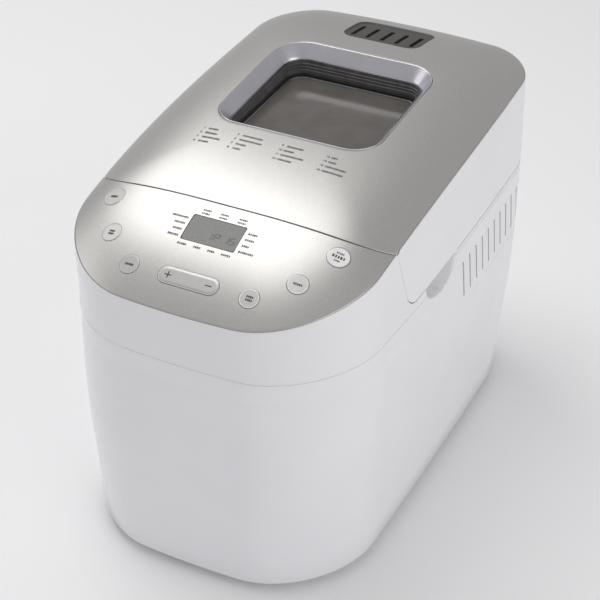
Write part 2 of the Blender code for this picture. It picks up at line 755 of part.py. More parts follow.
def control_panel():
    edge = split(RIM_Z, LIP, False, -SEAM_HALF, crown_z, SEAM_STEPS // 2, SEAM_STEPS)
    front = edge[: SEAM_STEPS + 1]
    back = [edge[0]] + edge[: SEAM_STEPS - 1 : -1]
    panel = crowned_lens("control_panel", front, back, SKIN, "silver")
    bm = bmesh.new()
    for x, y, radius in KEYS.values():
        disc(bm, radius, -0.01, 0.01, crown_place(x, y), 18)
    stadium(bm, ROCKER_HALF_X, ROCKER_HALF_Y, -0.01, 0.01, crown_place(0.0, ROCKER_Y))
    half_x, half_y = DISPLAY_HALF_X + GAP, DISPLAY_HALF_Y + GAP
    place = crown_place(0.0, DISPLAY_Y)
    bmesh.ops.create_cube(bm, size=1.0, matrix=place @ Matrix.Diagonal((2 * half_x, 2 * half_y, 0.02, 1.0)))
    boolean(panel, add("cut_panel_holes", bm))
    return panel


def stadium(bm, half_x, half_y, low, high, place):
    """A slab with round ends, lying along the X axis of a placing matrix."""
    loops = [[place @ p for p in rounded(half_x, half_y, half_y, 0.0, z)] for z in (low, high)]
    for loop in loops:
        for i in range(len(loop) - 1, -1, -1):
            if (loop[i] - loop[i - 1]).length < 1e-6:
                loop.pop(i)
    loft(bm, loops)


# ---- keypad ----
def board_top(y):
    lowest = crown_z(KEYS["menu_key"][0], BOARD_Y) - BOARD_DROP
    return lowest + BOARD_TILT * (y - BOARD_Y)


def stem_length(x, y, place):
    """Down the key's own axis to just over the board."""
    axis = place.to_3x3() @ Vector((0, 0, -1))
    drop = crown_z(x, y) - board_top(y)
    along = drop / (-axis.z + BOARD_TILT * axis.y)
    return along - KEY_TRAVEL - KEY_CLEAR


def round_key(name):
    x, y, radius = KEYS[name]
    place = crown_place(x, y)
    end = -stem_length(x, y, place)
    cap = radius - KEY_GAP
    profile = [(0.0, end), (KEY_STEM, end), (KEY_STEM, -KEY_THICK), (cap, -KEY_THICK)]
    profile += [(cap, KEY_PROUD - 0.0003), (cap - 0.0004, KEY_PROUD), (0.0, KEY_PROUD)]
    return lathed(name, profile, place, 18, "key")


def plus_minus_rocker():
    place = crown_place(0.0, ROCKER_Y)
    half_x, half_y = ROCKER_HALF_X - KEY_GAP, ROCKER_HALF_Y - KEY_GAP
    bm = bmesh.new()
    stadium(bm, half_x, half_y, -KEY_THICK, KEY_PROUD, place)
    rocker = add("plus_minus_rocker", bm, "key")
    bm = bmesh.new()
    end = -stem_length(0.0, ROCKER_Y, place) - KEY_TRAVEL + RIB_CLEAR
    low = Vector((-RIB_HALF_X, -RIB_HALF_Y, end))
    high = Vector((RIB_HALF_X, RIB_HALF_Y, -KEY_THICK + 0.0005))
    middle = Matrix.Translation((low + high) / 2)
    bmesh.ops.create_cube(bm, size=1.0, matrix=place @ middle @ Matrix.Diagonal((*(high - low), 1.0)))
    boolean(rocker, add("rocker_rib", bm), "UNION")
    return rocker


def display_lens():
    place = crown_place(0.0, DISPLAY_Y)
    bm = bmesh.new()
    size = Matrix.Diagonal((2 * DISPLAY_HALF_X, 2 * DISPLAY_HALF_Y, LENS, 1.0))
    bmesh.ops.create_cube(bm, size=1.0, matrix=place @ at(0, 0, -LENS / 2 - LENS_SINK) @ size)
    bmesh.ops.bevel(
        bm, geom=list(bm.edges), offset=LENS_EDGE, segments=1, profile=0.5, affect="EDGES", material=-1
    )
    return add("display_lens", bm, "lens")


def display_module():
    place = crown_place(0.0, DISPLAY_Y)
    top = -LENS - LENS_SINK - MODULE_CLEAR
    bm = bmesh.new()
    size = Matrix.Diagonal((2 * MODULE_HALF_X, 2 * MODULE_HALF_Y, MODULE_THICK, 1.0))
    bmesh.ops.create_cube(bm, size=1.0, matrix=place @ at(0, 0, top - MODULE_THICK / 2) @ size)
    return add("display_module", bm, "dark")


def control_board():
    """Sloping board under the keys, with its front corners cut back."""
    half = [(BOARD_HALF_X, BOARD_REAR), (BOARD_HALF_X, BOARD_CORNER), (BOARD_FRONT_HALF, BOARD_FRONT)]
    outline = half + [(-x, y) for x, y in reversed(half)]
    loops = [[Vector((x, y, board_top(y) - drop)) for x, y in outline] for drop in (0.0, BOARD_THICK)]
    return solid("control_board", loops, "board")


# ---- lid ----
def lid_skirt():
    under = below_crown(SKIN + SKIN_SEAT)
    outer = [split(z, 0.0, True, SEAM_HALF) for z in seam_heights(LID_LOW)]
    outer.append(split(RIM_Z, 0.0, True, SEAM_HALF, under))
    shift = SEAM_HALF + WALL
    inner = [split(RIM_Z, WALL, True, shift, under)]
    inner += [split(z, WALL, True, shift) for z in reversed(seam_heights(LID_LOW))]
    skirt = solid("lid_skirt", outer + inner, "white", closed=True)
    boolean(skirt, hinge_notches("cut_skirt_notch", SEAM_Z - 0.002, SEAM_Z + BARREL + 0.0015))
    return skirt


def lid_cover():
    edge = split(RIM_Z, LIP, True, SEAM_HALF, crown_z, 20, SEAM_STEPS)
    cover = crowned_sheet("lid_cover", edge, COVER_HUB_Y, 0.0, SKIN, "silver")
    hole = [rounded(WINDOW_HALF_X, WINDOW_HALF_Y, WINDOW_RADIUS, WINDOW_Y, z) for z in (0.25, HEIGHT + 0.02)]
    boolean(cover, solid("cut_window", hole))
    half_x, half_y = GRILLE_HALF_X + GAP, GRILLE_HALF_Y + GAP
    hole = [rounded(half_x, half_y, GRILLE_RADIUS, GRILLE_Y, z) for z in (0.25, HEIGHT + 0.02)]
    boolean(cover, solid("cut_grille_seat", hole))
    return cover


def window_loop(inset, z):
    radius = max(WINDOW_RADIUS - inset, 0.004)
    return rounded(WINDOW_HALF_X - inset, WINDOW_HALF_Y - inset, radius, WINDOW_Y, z)


def window_bezel():
    foot = GLASS_TOP + GASKET + 2 * GAP
    loops = [
        window_loop(GAP, crown_z),
        window_loop(BEZEL_WIDTH, below_crown(BEZEL_DROP)),
        window_loop(BEZEL_WIDTH + BEZEL_FLARE, foot),
        window_loop(BEZEL_WIDTH + BEZEL_FLARE - BEZEL_WALL, foot),
        window_loop(BEZEL_WIDTH - BEZEL_WALL, below_crown(BEZEL_DROP + BEZEL_WALL)),
        window_loop(GAP, below_crown(SKIN)),
    ]
    return solid("window_bezel", loops, "satin", closed=True)


def window_gasket():
    low, high = GLASS_TOP + GAP, GLASS_TOP + GAP + GASKET
    inner, outer = BEZEL_WIDTH + 0.0025, BEZEL_WIDTH - GLASS_LAP
    loops = [window_loop(outer, low), window_loop(outer, high)]
    loops += [window_loop(inner, high), window_loop(inner, low)]
    return solid("window_gasket", loops, "black", closed=True)


def outer_glass():
    loops = [window_loop(BEZEL_WIDTH - GLASS_LAP, z) for z in (GLASS_TOP - GLASS, GLASS_TOP)]
    return solid("outer_glass", loops, "glass")


def vent_grille():
    loop = rounded(GRILLE_HALF_X, GRILLE_HALF_Y, GRILLE_RADIUS, GRILLE_Y, 0.0)
    grille = crowned_sheet("vent_grille", loop, GRILLE_Y, 0.0008, GRILLE_THICK, "dark", (1,))
    bm = bmesh.new()
    for i in range(GRILLE_SLOTS):
        x = GRILLE_PITCH * (i - (GRILLE_SLOTS - 1) / 2)
        low = (x - GRILLE_SLOT_WIDTH / 2, GRILLE_SLOT_LOW_Y, HEIGHT - 0.03)
        block(bm, low, (x + GRILLE_SLOT_WIDTH / 2, GRILLE_SLOT_HIGH_Y, HEIGHT + 0.01))
    boolean(grille, add("cut_grille_slots", bm))
    return grille


def lid_liner():
    margin = WALL + LINER_PLAY
    low, high = DOME_FOOT_Z, DOME_FOOT_Z + SHEET
    slab = [split(z, margin, True, SEAM_HALF + margin + 0.001) for z in (low, high)]
    liner = solid("lid_liner", slab, "steel")
    foot_x, foot_y = CHAMBER_HALF_X + 0.002, CHAMBER_HALF_Y + 0.002

    def dome(inset, z, lean):
        radius = CHAMBER_RADIUS - inset
        return rounded(foot_x - inset - lean, foot_y - inset - lean, radius, CHAMBER_Y, z)

    boolean(liner, solid("dome", [dome(0.0, low, 0.0), dome(0.0, DOME_TOP_Z, DOME_LEAN)]), "UNION")
    rate = DOME_LEAN / (DOME_TOP_Z - low)
    below, inside = low - 0.003, DOME_TOP_Z - SHEET
    cavity = [dome(SHEET, below, rate * (below - low)), dome(SHEET, inside, rate * (inside - low))]
    boolean(liner, solid("cut_dome_inside", cavity))
    hole_z = (DOME_TOP_Z - 0.01, DOME_TOP_Z + 0.01)
    hole = [rounded(LINER_WINDOW_X, LINER_WINDOW_Y, LINER_WINDOW_RADIUS, WINDOW_Y, z) for z in hole_z]
    boolean(liner, solid("cut_liner_window", hole))
    boolean(liner, hinge_notches("cut_liner_notch", SEAM_Z, SEAM_Z + 0.01))
    return liner


def inner_glass():
    half_x, half_y = LINER_WINDOW_X + INNER_GLASS_LAP, LINER_WINDOW_Y + INNER_GLASS_LAP
    low = DOME_TOP_Z + GAP
    loops = [rounded(half_x, half_y, LINER_WINDOW_RADIUS + 0.004, WINDOW_Y, z) for z in (low, low + GLASS)]
    return solid("inner_glass", loops, "glass")


def lid_seal():
    low, high = SEAM_Z, DOME_FOOT_Z - GAP
    inner = (CHAMBER_HALF_X + 0.002, CHAMBER_HALF_Y + 0.002, CHAMBER_RADIUS)
    outer = tuple(value + SEAL_WIDTH for value in inner)
    loops = [rounded(*outer, CHAMBER_Y, low), rounded(*outer, CHAMBER_Y, high)]
    loops += [rounded(*inner, CHAMBER_Y, high), rounded(*inner, CHAMBER_Y, low)]
    return solid("lid_seal", loops, "black", closed=True)


def hinge_bracket(name, side):
    """Barrel on the hinge line with an arm that reaches in under the deck."""
    x = side * HINGE_X
    line = Matrix.Translation((x, REAR, SEAM_Z)) @ Matrix.Rotation(math.pi / 2, 4, "Y")
    bm = bmesh.new()
    turned(bm, tube_profile(PIN + RUN, BARREL, -BARREL_HALF, BARREL_HALF), line, 16)
    bracket = add(name, bm, "white")
    bm = bmesh.new()
    low = (x - BARREL_HALF + 0.0005, REAR - ARM_REACH, SEAM_Z - BARREL - 0.0030)
    block(bm, low, (x + BARREL_HALF - 0.0005, REAR - PIN - RUN, SEAM_Z - BARREL + 0.0014))
    boolean(bracket, add("arm_of_" + name, bm), "UNION")
    return bracket


def hinge_pin(name, side):
    """Pin through the barrel, with a lug at each end that is fixed inside the lid."""
    reach = BARREL_HALF + 2 * GAP + LUG
    x = side * HINGE_X
    line = Matrix.Translation((x, REAR, SEAM_Z)) @ Matrix.Rotation(math.pi / 2, 4, "Y")
    bm = bmesh.new()
    disc(bm, PIN, -reach + 0.0002, reach - 0.0002, line, 16)
    pin = add(name, bm, "steel")
    bm = bmesh.new()
    for end in (-1, 1):
        middle = x + end * (reach - LUG / 2)
        outline = []
        for i in range(9):
            angle = math.pi + math.pi * i / 8
            outline.append((REAR + LUG_RADIUS * math.cos(angle), SEAM_Z + LUG_RADIUS * math.sin(angle)))
        behind, inside = REAR - LUG_SET, REAR - BARREL - 0.0062
        outline += [(REAR + LUG_RADIUS, SEAM_Z + 0.0035), (behind, SEAM_Z + 0.0058)]
        outline += [(behind, SEAM_Z + LUG_HEIGHT), (inside, SEAM_Z + LUG_HEIGHT), (inside, SEAM_Z + 0.003)]
        loft(bm, [[(middle + step * LUG / 2, y, z) for y, z in outline] for step in (-1, 1)])
    boolean(pin, add("lugs_of_" + name, bm), "UNION")
    return pin


# ---- chamber and pan ----
def oven_chamber():
    top = DECK_LOW - GAP

    def loop(grow, z):
        return rounded(CHAMBER_HALF_X + grow, CHAMBER_HALF_Y + grow, CHAMBER_RADIUS + grow, CHAMBER_Y, z)

    loops = [loop(0.0, CHAMBER_FLOOR - SHEET), loop(0.0, top - SHEET), loop(CHAMBER_FLANGE, top - SHEET)]
    loops += [loop(CHAMBER_FLANGE, top), loop(-SHEET, top), loop(-SHEET, CHAMBER_FLOOR)]
    chamber = solid("oven_chamber", loops, "steel")
    bm = bmesh.new()
    for y in PADDLE_Y:
        disc(bm, SHAFT + 0.002, CHAMBER_FLOOR - 0.01, CHAMBER_FLOOR + 0.01, at(0, y), 16)
    for x in (-TERMINAL_X, TERMINAL_X):
        disc(bm, INSULATOR + GAP, -0.01, 0.01, forward(x, CHAMBER_FRONT, ELEMENT_Z), 16)
    disc(bm, PROBE + RUN, -0.01, 0.01, sideways(PROBE_Z), 12)
    boolean(chamber, add("cut_chamber_holes", bm))
    return chamber


def forward(x, y, z):
    """Matrix whose Z axis points to the front."""
    return at(x, y, z) @ Matrix.Rotation(math.pi / 2, 4, "X")


def sideways(z):
    """Matrix whose Z axis points out of the chamber's right wall."""
    return at(CHAMBER_HALF_X, CHAMBER_Y, z) @ Matrix.Rotation(math.pi / 2, 4, "Y")


def bent_wire(name, path, z, radius, kind):
    """A round rod along a level path of (x, y) points."""
    curve = bpy.data.curves.new(name, "CURVE")
    curve.dimensions = "3D"
    curve.bevel_depth = radius
    curve.bevel_resolution = 2
    curve.use_fill_caps = True
    curve.resolution_u = 1
    spline = curve.splines.new("POLY")
    spline.points.add(len(path) - 1)
    for point, (x, y) in zip(spline.points, path):
        point.co = (x, y, z, 1.0)
    rod = bpy.data.objects.new(name, curve)
    curve.materials.append(finish_for(name, kind))
    bpy.context.scene.collection.objects.link(rod)
    return rod


def heating_element():
    """One bent tube round the pan, whose two ends leave through the front wall."""
    near = CHAMBER_Y - ELEMENT_HALF_Y
    bend = 0.003
    leg = [(TERMINAL_X, CHAMBER_FRONT - 0.022), (TERMINAL_X, near - bend), (TERMINAL_X + bend, near)]
    loop = rounded(ELEMENT_HALF_X, ELEMENT_HALF_Y, ELEMENT_RADIUS, CHAMBER_Y, 0.0, 5)
    first = next(i for i, p in enumerate(loop) if p.x > 0 and p.y < CHAMBER_Y)
    path = leg + [(p.x, p.y) for p in loop[first:] + loop[:first]]
    path += [(-x, y) for x, y in reversed(leg)]
    return bent_wire("heating_element", path, ELEMENT_Z, ELEMENT_WIRE, "dark")


def element_terminal_block():
    """Ceramic block outside the front wall; a spigot round each leg of the element passes through it."""
    half_x = TERMINAL_X + INSULATOR + 0.004
    bm = bmesh.new()
    low = (-half_x, CHAMBER_FRONT - TERMINAL_DEPTH, ELEMENT_Z - INSULATOR - 0.002)
    block(bm, low, (half_x, CHAMBER_FRONT - GAP, ELEMENT_Z + INSULATOR + 0.002))
    terminals = add("element_terminal_block", bm, "ceramic")
    bm = bmesh.new()
    for x in (-TERMINAL_X, TERMINAL_X):
        disc(bm, INSULATOR, -0.003, 0.004, forward(x, CHAMBER_FRONT, ELEMENT_Z), 16)
    boolean(terminals, add("spigots", bm), "UNION")
    bm = bmesh.new()
    for x in (-TERMINAL_X, TERMINAL_X):
        disc(bm, ELEMENT_WIRE + RUN, -0.010, TERMINAL_DEPTH + 0.005, forward(x, CHAMBER_FRONT, ELEMENT_Z), 16)
    boolean(terminals, add("cut_terminal_bores", bm))
    return terminals


def temperature_probe():
    reach, behind = 0.008, 0.010
    profile = [(0.0, -reach), (PROBE, -reach), (PROBE, GAP), (PROBE_HEAD, GAP)]
    profile += [(PROBE_HEAD, behind), (0.0, behind)]
    return lathed("temperature_probe", profile, sideways(PROBE_Z), 12, "steel")


def thermal_fuse():
    shoulder, high = FUSE_LOW + 0.006, FUSE_LOW + 0.030
    half = [(0.008, FUSE_LOW), (0.008, shoulder), (0.006, shoulder), (0.006, high)]
    outline = half + [(-x, z) for x, z in reversed(half)]
    loops = [[(x, y, z) for x, z in outline] for y in (CHAMBER_FRONT - FUSE_DEPTH, CHAMBER_FRONT - GAP)]
    return solid("thermal_fuse", loops, "ceramic")


def pan_loop(grow, z, base=PAN_FLOOR):
    share = (z - base) / (PAN_TOP - base)
    taper = PAN_TAPER * (1 - share)
    half_x, half_y = PAN_HALF_X - taper + grow, PAN_HALF_Y - taper + grow
    return rounded(half_x, half_y, PAN_RADIUS - taper + grow, CHAMBER_Y, z)


def bread_pan():
    loops = [pan_loop(0.0, PAN_FLOOR), pan_loop(0.0, PAN_TOP - PAN_WALL)]
    loops += [pan_loop(PAN_RIM, PAN_TOP - PAN_WALL), pan_loop(PAN_RIM, PAN_TOP)]
    loops += [pan_loop(-PAN_WALL, PAN_TOP), pan_loop(-PAN_WALL, PAN_FLOOR + PAN_WALL)]
    pan = solid("bread_pan", loops, "coating")
    bm = bmesh.new()
    for side in (-1, 1):
        low = (side * EAR_X - EAR_THICK / 2, CHAMBER_Y - 0.008, PAN_TOP - 0.0005)
        block(bm, low, (side * EAR_X + EAR_THICK / 2, CHAMBER_Y + 0.008, HANDLE_Z + 0.005))
    boolean(pan, add("pan_ears", bm), "UNION")
    bm = bmesh.new()
    for y in PADDLE_Y:
        disc(bm, BUSHING + GAP, PAN_FLOOR - 0.01, PAN_FLOOR + 0.01, at(0, y), 16)
    for side in (-1, 1):
        turn = at(side * EAR_X, CHAMBER_Y, HANDLE_Z) @ Matrix.Rotation(math.pi / 2, 4, "Y")
        disc(bm, HANDLE_WIRE + 0.0005, -0.004, 0.004, turn, 16)
    boolean(pan, add("cut_pan_holes", bm))
    return pan


def pan_base_ring():
    top = PAN_FLOOR - GAP
    low = CHAMBER_FLOOR + GAP + CLIP_THICK + 0.0005
    outer = (RING_HALF_X, RING_HALF_Y, RING_HALF_X - 0.004)
    inner = tuple(value - RING_WALL for value in outer)
    loops = [rounded(*outer, CHAMBER_Y, low), rounded(*outer, CHAMBER_Y, top)]
    loops += [rounded(*inner, CHAMBER_Y, top), rounded(*inner, CHAMBER_Y, low)]
    return solid("pan_base_ring", loops, "steel", closed=True)


def bushing_plate():
    """Plate under the pan with a bushing for each shaft, which stands up through the pan's floor."""
    top = PAN_FLOOR - GAP
    half_x, half_y = BUSHING_PLATE_HALF, PADDLE_SPACING / 2 + BUSHING_PLATE_HALF
    loops = [rounded(half_x, half_y, half_x - 0.0005, CHAMBER_Y, z) for z in (top - BUSHING_PLATE, top)]
    plate = solid("bushing_plate", loops, "bronze")
    for label, radius, low, high, operation in (
        ("bosses", BUSHING, top - 0.001, PAN_FLOOR + BUSHING_HEIGHT, "UNION"),
        ("bores", SHAFT + RUN, top - 0.01, PAN_FLOOR + 0.01, "DIFFERENCE"),
    ):
        bm = bmesh.new()
        for y in PADDLE_Y:
            disc(bm, radius, low, high, at(0, y), 16)
        boolean(plate, add("cut_bushing_" + label, bm), operation)
    return plate


def pan_clip():
    """One spring strip across the chamber floor, turned up at both ends beside the pan's base ring."""
    low = CHAMBER_FLOOR + GAP
    near = RING_HALF_X + 0.0012
    half = [(near, low + CLIP_THICK), (near, low + 0.014), (near + 0.002, low + 0.0165)]
    half += [(near + 0.0028, low + 0.016), (near + CLIP_THICK, low + 0.014), (near + CLIP_THICK, low)]
    outline = half + [(-x, z) for x, z in reversed(half)]
    ends = (CHAMBER_Y - CLIP_WIDTH / 2, CHAMBER_Y + CLIP_WIDTH / 2)
    return solid("pan_clip", [[(x, y, z) for x, z in outline] for y in ends], "steel")


def pan_handle():
    """Bail of bent wire, lying back on the pan's rim."""
    bar = CHAMBER_Y + HANDLE_ARM
    inner = EAR_X - EAR_THICK / 2 - 0.001
    side = [(inner, CHAMBER_Y), (HANDLE_HALF_X - 0.003, CHAMBER_Y), (HANDLE_HALF_X, CHAMBER_Y + 0.003)]
    side += [(HANDLE_HALF_X, bar - 0.012), (HANDLE_HALF_X - 0.0035, bar - 0.0035)]
    side.append((HANDLE_HALF_X - 0.012, bar))
    path = side + [(-x, y) for x, y in reversed(side)]
    return bent_wire("pan_handle", path, HANDLE_Z, HANDLE_WIRE, "steel")


# ---- drive line ----
def kneading_paddle(name, y, way):
    """Hub and curved fin; way is the side the fin points to."""
    low = PAN_FLOOR + BUSHING_HEIGHT + 2 * RUN
    top = PAN_SHAFT_TOP + RUN
    bm = bmesh.new()
    turned(bm, tube_profile(SHAFT + GAP, HUB, low, top), at(0, y), 16)
    paddle = add(name, bm, "coating")
    bm = bmesh.new()
    loops = []
    for share in (0.0, 0.25, 0.5, 0.75, 1.0):
        reach = HUB - 0.003 + (PADDLE_REACH - HUB + 0.003) * share
        sweep = PADDLE_SWEEP * share**2
        half = 0.0028 - 0.0010 * share
        foot_z = PAN_FLOOR + PAN_WALL + PADDLE_LIFT if share > 0.2 else low
        crest = top - 0.001 - PADDLE_FALL * share**2
        corners = [(-half, foot_z), (half, foot_z), (half, crest), (-half, crest)]
        loops.append([(sweep + across, y + way * reach, z) for across, z in corners])
    loft(bm, loops)
    boolean(paddle, add("fin_of_" + name, bm), "UNION")
    return paddle


def pan_shaft(name, y):
    """Shaft through the pan's floor, with a two-winged dog below that the coupling's lugs drive."""
    end = SHAFT_HIGH + 2 * GAP
    profile = [(0.0, end), (SHAFT, end), (SHAFT, BAR_LOW), (BAR_HUB, BAR_LOW)]
    profile += [(BAR_HUB, BAR_HIGH), (SHAFT, BAR_HIGH), (SHAFT, PAN_SHAFT_TOP), (0.0, PAN_SHAFT_TOP)]
    shaft = lathed(name, profile, at(0, y), 16, "steel")
    bm = bmesh.new()
    for side in (-1, 1):
        ends = sorted((side * (BAR_HUB - 0.0015), side * BAR_REACH))
        block(bm, (ends[0], y - DOG_HALF, BAR_LOW + GAP), (ends[1], y + DOG_HALF, BAR_HIGH - GAP))
    boolean(shaft, add("wings_of_" + name, bm), "UNION")
    return shaft


def lower_coupling(name, y):
    bm = bmesh.new()
    turned(bm, tube_profile(SHAFT + GAP, DOG_RADIUS, DOG_LOW, DOG_LOW + DOG_DISC), at(0, y), 16)
    coupling = add(name, bm, "steel")
    bm = bmesh.new()
    for side in (-1, 1):
        ends = sorted((y + side * DOG_IN, y + side * DOG_OUT))
        block(bm, (-DOG_HALF, ends[0], DOG_LOW + 0.001), (DOG_HALF, ends[1], BAR_HIGH - 0.001))
    boolean(coupling, add("lugs_of_" + name, bm), "UNION")
    return coupling


def drive_shaft(name, y):
    bm = bmesh.new()
    disc(bm, SHAFT, SHAFT_LOW, SHAFT_HIGH, at(0, y), 16)
    return add(name, bm, "steel")


def track_low(track):
    return PULLEY_LOW + FLANGE + track * (TRACK + FLANGE)


def drive_pulley(name, y):
    """Two belt tracks between three flanges, round a bored hub."""
    top = track_low(1) + TRACK + FLANGE
    profile = [(SHAFT + GAP, PULLEY_LOW), (PULLEY_FLANGE, PULLEY_LOW)]
    for track in (0, 1):
        low = track_low(track)
        profile += [(PULLEY_FLANGE, low), (PULLEY, low), (PULLEY, low + TRACK), (PULLEY_FLANGE, low + TRACK)]
    dish = top - PULLEY_DISH
    profile += [(PULLEY_FLANGE, top), (PULLEY - PULLEY_DISH, top), (PULLEY - PULLEY_DISH, dish)]
    profile += [(SHAFT + PULLEY_DISH, dish), (SHAFT + PULLEY_DISH, top), (SHAFT + GAP, top)]
    bm = bmesh.new()
    turned(bm, profile, at(0, y), 24)
    return add(name, bm, "dark")


def motor_pulley():
    """Pulley turned in one with the rotor's shaft."""
    low = track_low(0)
    rim = MOTOR_PULLEY + 0.002
    high = low + TRACK
    profile = [(0.0, SHAFT_LOW), (rim, SHAFT_LOW), (rim, low), (MOTOR_PULLEY, low), (MOTOR_PULLEY, high)]
    profile += [(rim, high), (rim, high + FLANGE), (MOTOR_SHAFT, high + FLANGE + 0.002)]
    profile += [(MOTOR_SHAFT, CHASSIS_Z + 0.012), (0.0, CHASSIS_Z + 0.012)]
    return lathed("motor_pulley", profile, at(0, MOTOR_Y), 16, "steel")


def belt(name, ends, track):
    """Open belt round two pulleys: each end is (y, pulley radius)."""
    (y1, r1), (y2, r2) = ends
    low, high = track_low(track) + GAP, track_low(track) + TRACK - GAP
    lean = math.asin((r2 - r1) / (y2 - y1))

    def loop(grow, z):
        points = []
        small = (y1, r1, math.pi + lean, math.pi - 2 * lean, 10)
        large = (y2, r2, -lean, math.pi + 2 * lean, 16)
        for middle, radius, begin, sweep, count in (small, large):
            for i in range(count + 1):
                angle = begin + sweep * i / count
                reach = radius + grow
                points.append(Vector((reach * math.cos(angle), middle + reach * math.sin(angle), z)))
        return points

    loops = [loop(BELT_GAP, low), loop(BELT_GAP + BELT_THICK, low)]
    loops += [loop(BELT_GAP + BELT_THICK, high), loop(BELT_GAP, high)]
    return solid(name, loops, "black", closed=True)


def bearing(name, y):
    top = CHAMBER_FLOOR - SHEET - GAP
    seat = CHASSIS_Z + CHASSIS_SHEET + GAP
    foot_z = CHASSIS_Z - BEARING_SINK
    profile = [(SHAFT + RUN, foot_z), (BEARING_SPIGOT, foot_z), (BEARING_SPIGOT, seat), (BEARING, seat)]
    profile += [(BEARING, top), (SHAFT + RUN, top)]
    bm = bmesh.new()
    turned(bm, profile, at(0, y), 16)
    return add(name, bm, "steel")


def motor():
    low = CHASSIS_Z + CHASSIS_SHEET + GAP
    high = low + MOTOR_HEIGHT
    bore = MOTOR_SHAFT + RUN
    roof = low + 0.015
    profile = [(0.0, roof), (bore, roof), (bore, low), (MOTOR_RADIUS, low), (MOTOR_RADIUS, high)]
    profile += [(MOTOR_BOSS, high), (MOTOR_BOSS, high + 0.006), (0.0, high + 0.006)]
    return lathed("motor", profile, at(0, MOTOR_Y), 20, "steel")


def drive_chassis():
    low = BASE_Z + PLATE_THICK + GAP
    top = CHASSIS_Z + CHASSIS_SHEET
    half = CHASSIS_HALF_X
    inner = half - CHASSIS_SHEET
    outline = [(-half, low), (-half, top), (half, top), (half, low), (inner, low), (inner, CHASSIS_Z)]
    outline += [(-inner, CHASSIS_Z), (-inner, low)]
    loops = [[(x, y, z) for x, z in outline] for y in (CHASSIS_FRONT, CHASSIS_REAR)]
    chassis = solid("drive_chassis", loops, "steel")
    bm = bmesh.new()
    for y in PADDLE_Y:
        disc(bm, BEARING_SPIGOT + GAP, CHASSIS_Z - 0.01, top + 0.01, at(0, y), 16)
    disc(bm, MOTOR_SHAFT + 0.005, CHASSIS_Z - 0.01, top + 0.01, at(0, MOTOR_Y), 16)
    boolean(chassis, add("cut_chassis_holes", bm))
    return chassis


def power_board():
    """Board with a transformer, a relay and a capacitor, left of the chassis on the base plate's posts."""
    top = POWER_BOARD_Z + BOARD_THICK
    rooted = top - 0.0006
    left, front = POWER_BOARD_X - POWER_BOARD_HALF_X, POWER_BOARD_Y - POWER_BOARD_HALF_Y
    bm = bmesh.new()
    far = (left + 2 * POWER_BOARD_HALF_X, front + 2 * POWER_BOARD_HALF_Y, top)
    block(bm, (left, front, POWER_BOARD_Z), far)
    board = add("power_board", bm, "board")
    bm = bmesh.new()
    block(bm, (left + 0.006, front + 0.007, rooted), (left + 0.030, front + 0.035, top + TRANSFORMER))
    block(bm, (left + 0.034, front + 0.015, rooted), (left + 0.046, front + 0.035, top + RELAY))
    disc(bm, CAPACITOR_RADIUS, rooted, top + CAPACITOR, at(left + 0.021, front + 0.057), 12)
    boolean(board, add("board_components", bm), "UNION")
    return board


def base_plate():
    margin = WALL + GAP
    loops = [ring(BASE_Z + 0.0002, margin), ring(BASE_Z + PLATE_THICK, margin)]
    plate = solid("base_plate", loops, "white")
    bm = bmesh.new()
    half = PLATE_VENT_WIDTH / 2
    for i in range(PLATE_VENTS):
        x = PLATE_VENT_PITCH * (i - (PLATE_VENTS - 1) / 2)
        block(bm, (x - half, PLATE_VENT_FRONT, BASE_Z - 0.01), (x + half, PLATE_VENT_REAR, BASE_Z + 0.01))
    boolean(plate, add("cut_base_holes", bm))
    return plate


def foot(name, x, y):
    top = BASE_Z - GAP
    profile = [(0.0, 0.0), (FOOT_RADIUS - 0.001, 0.0), (FOOT_RADIUS, 0.001), (FOOT_RADIUS, top), (0.0, top)]
    return lathed(name, profile, at(x, y), 16, "black")


# ---- assembly ----
def body(name, place, pieces):
    """Hang pieces from an empty on their joint's axis."""
    pivot = bpy.data.objects.new("pivot_" + name, None)
    bpy.context.scene.collection.objects.link(pivot)
    pivot.location = place
    for piece in pieces:
        piece.parent = pivot
        piece.matrix_parent_inverse = Matrix.Translation(pivot.location).inverted()


outer_housing()
top_collar()
control_panel()
display_lens()
display_module()
control_board()
power_board()
base_plate()
cord_gland()
for foot_name, spot in FEET.items():
    foot(foot_name, *spot)
hinge_bracket("hinge_bracket_left", -1)
hinge_bracket("hinge_bracket_right", 1)
oven_chamber()
heating_element()
element_terminal_block()
temperature_probe()
thermal_fuse()
pan_clip()
drive_chassis()
motor()
bearing("bearing_front", PADDLE_Y[0])
bearing("bearing_rear", PADDLE_Y[1])
belt("motor_belt", ((MOTOR_Y, MOTOR_PULLEY), (PADDLE_Y[0], PULLEY)), 0)
belt("cross_belt", ((PADDLE_Y[0], PULLEY), (PADDLE_Y[1], PULLEY)), 1)

lid = [lid_cover(), lid_skirt(), lid_liner(), window_bezel(), window_gasket(), outer_glass(), inner_glass()]
lid += [vent_grille(), lid_seal(), hinge_pin("hinge_pin_left", -1), hinge_pin("hinge_pin_right", 1)]
body("lid", HINGE_AXIS, lid)

for key in KEYS:
    key_x, key_y, _ = KEYS[key]
    body(key, (key_x, key_y, crown_z(key_x, key_y)), [round_key(key)])
body("rocker", (0.0, ROCKER_Y, crown_z(0.0, ROCKER_Y)), [plus_minus_rocker()])

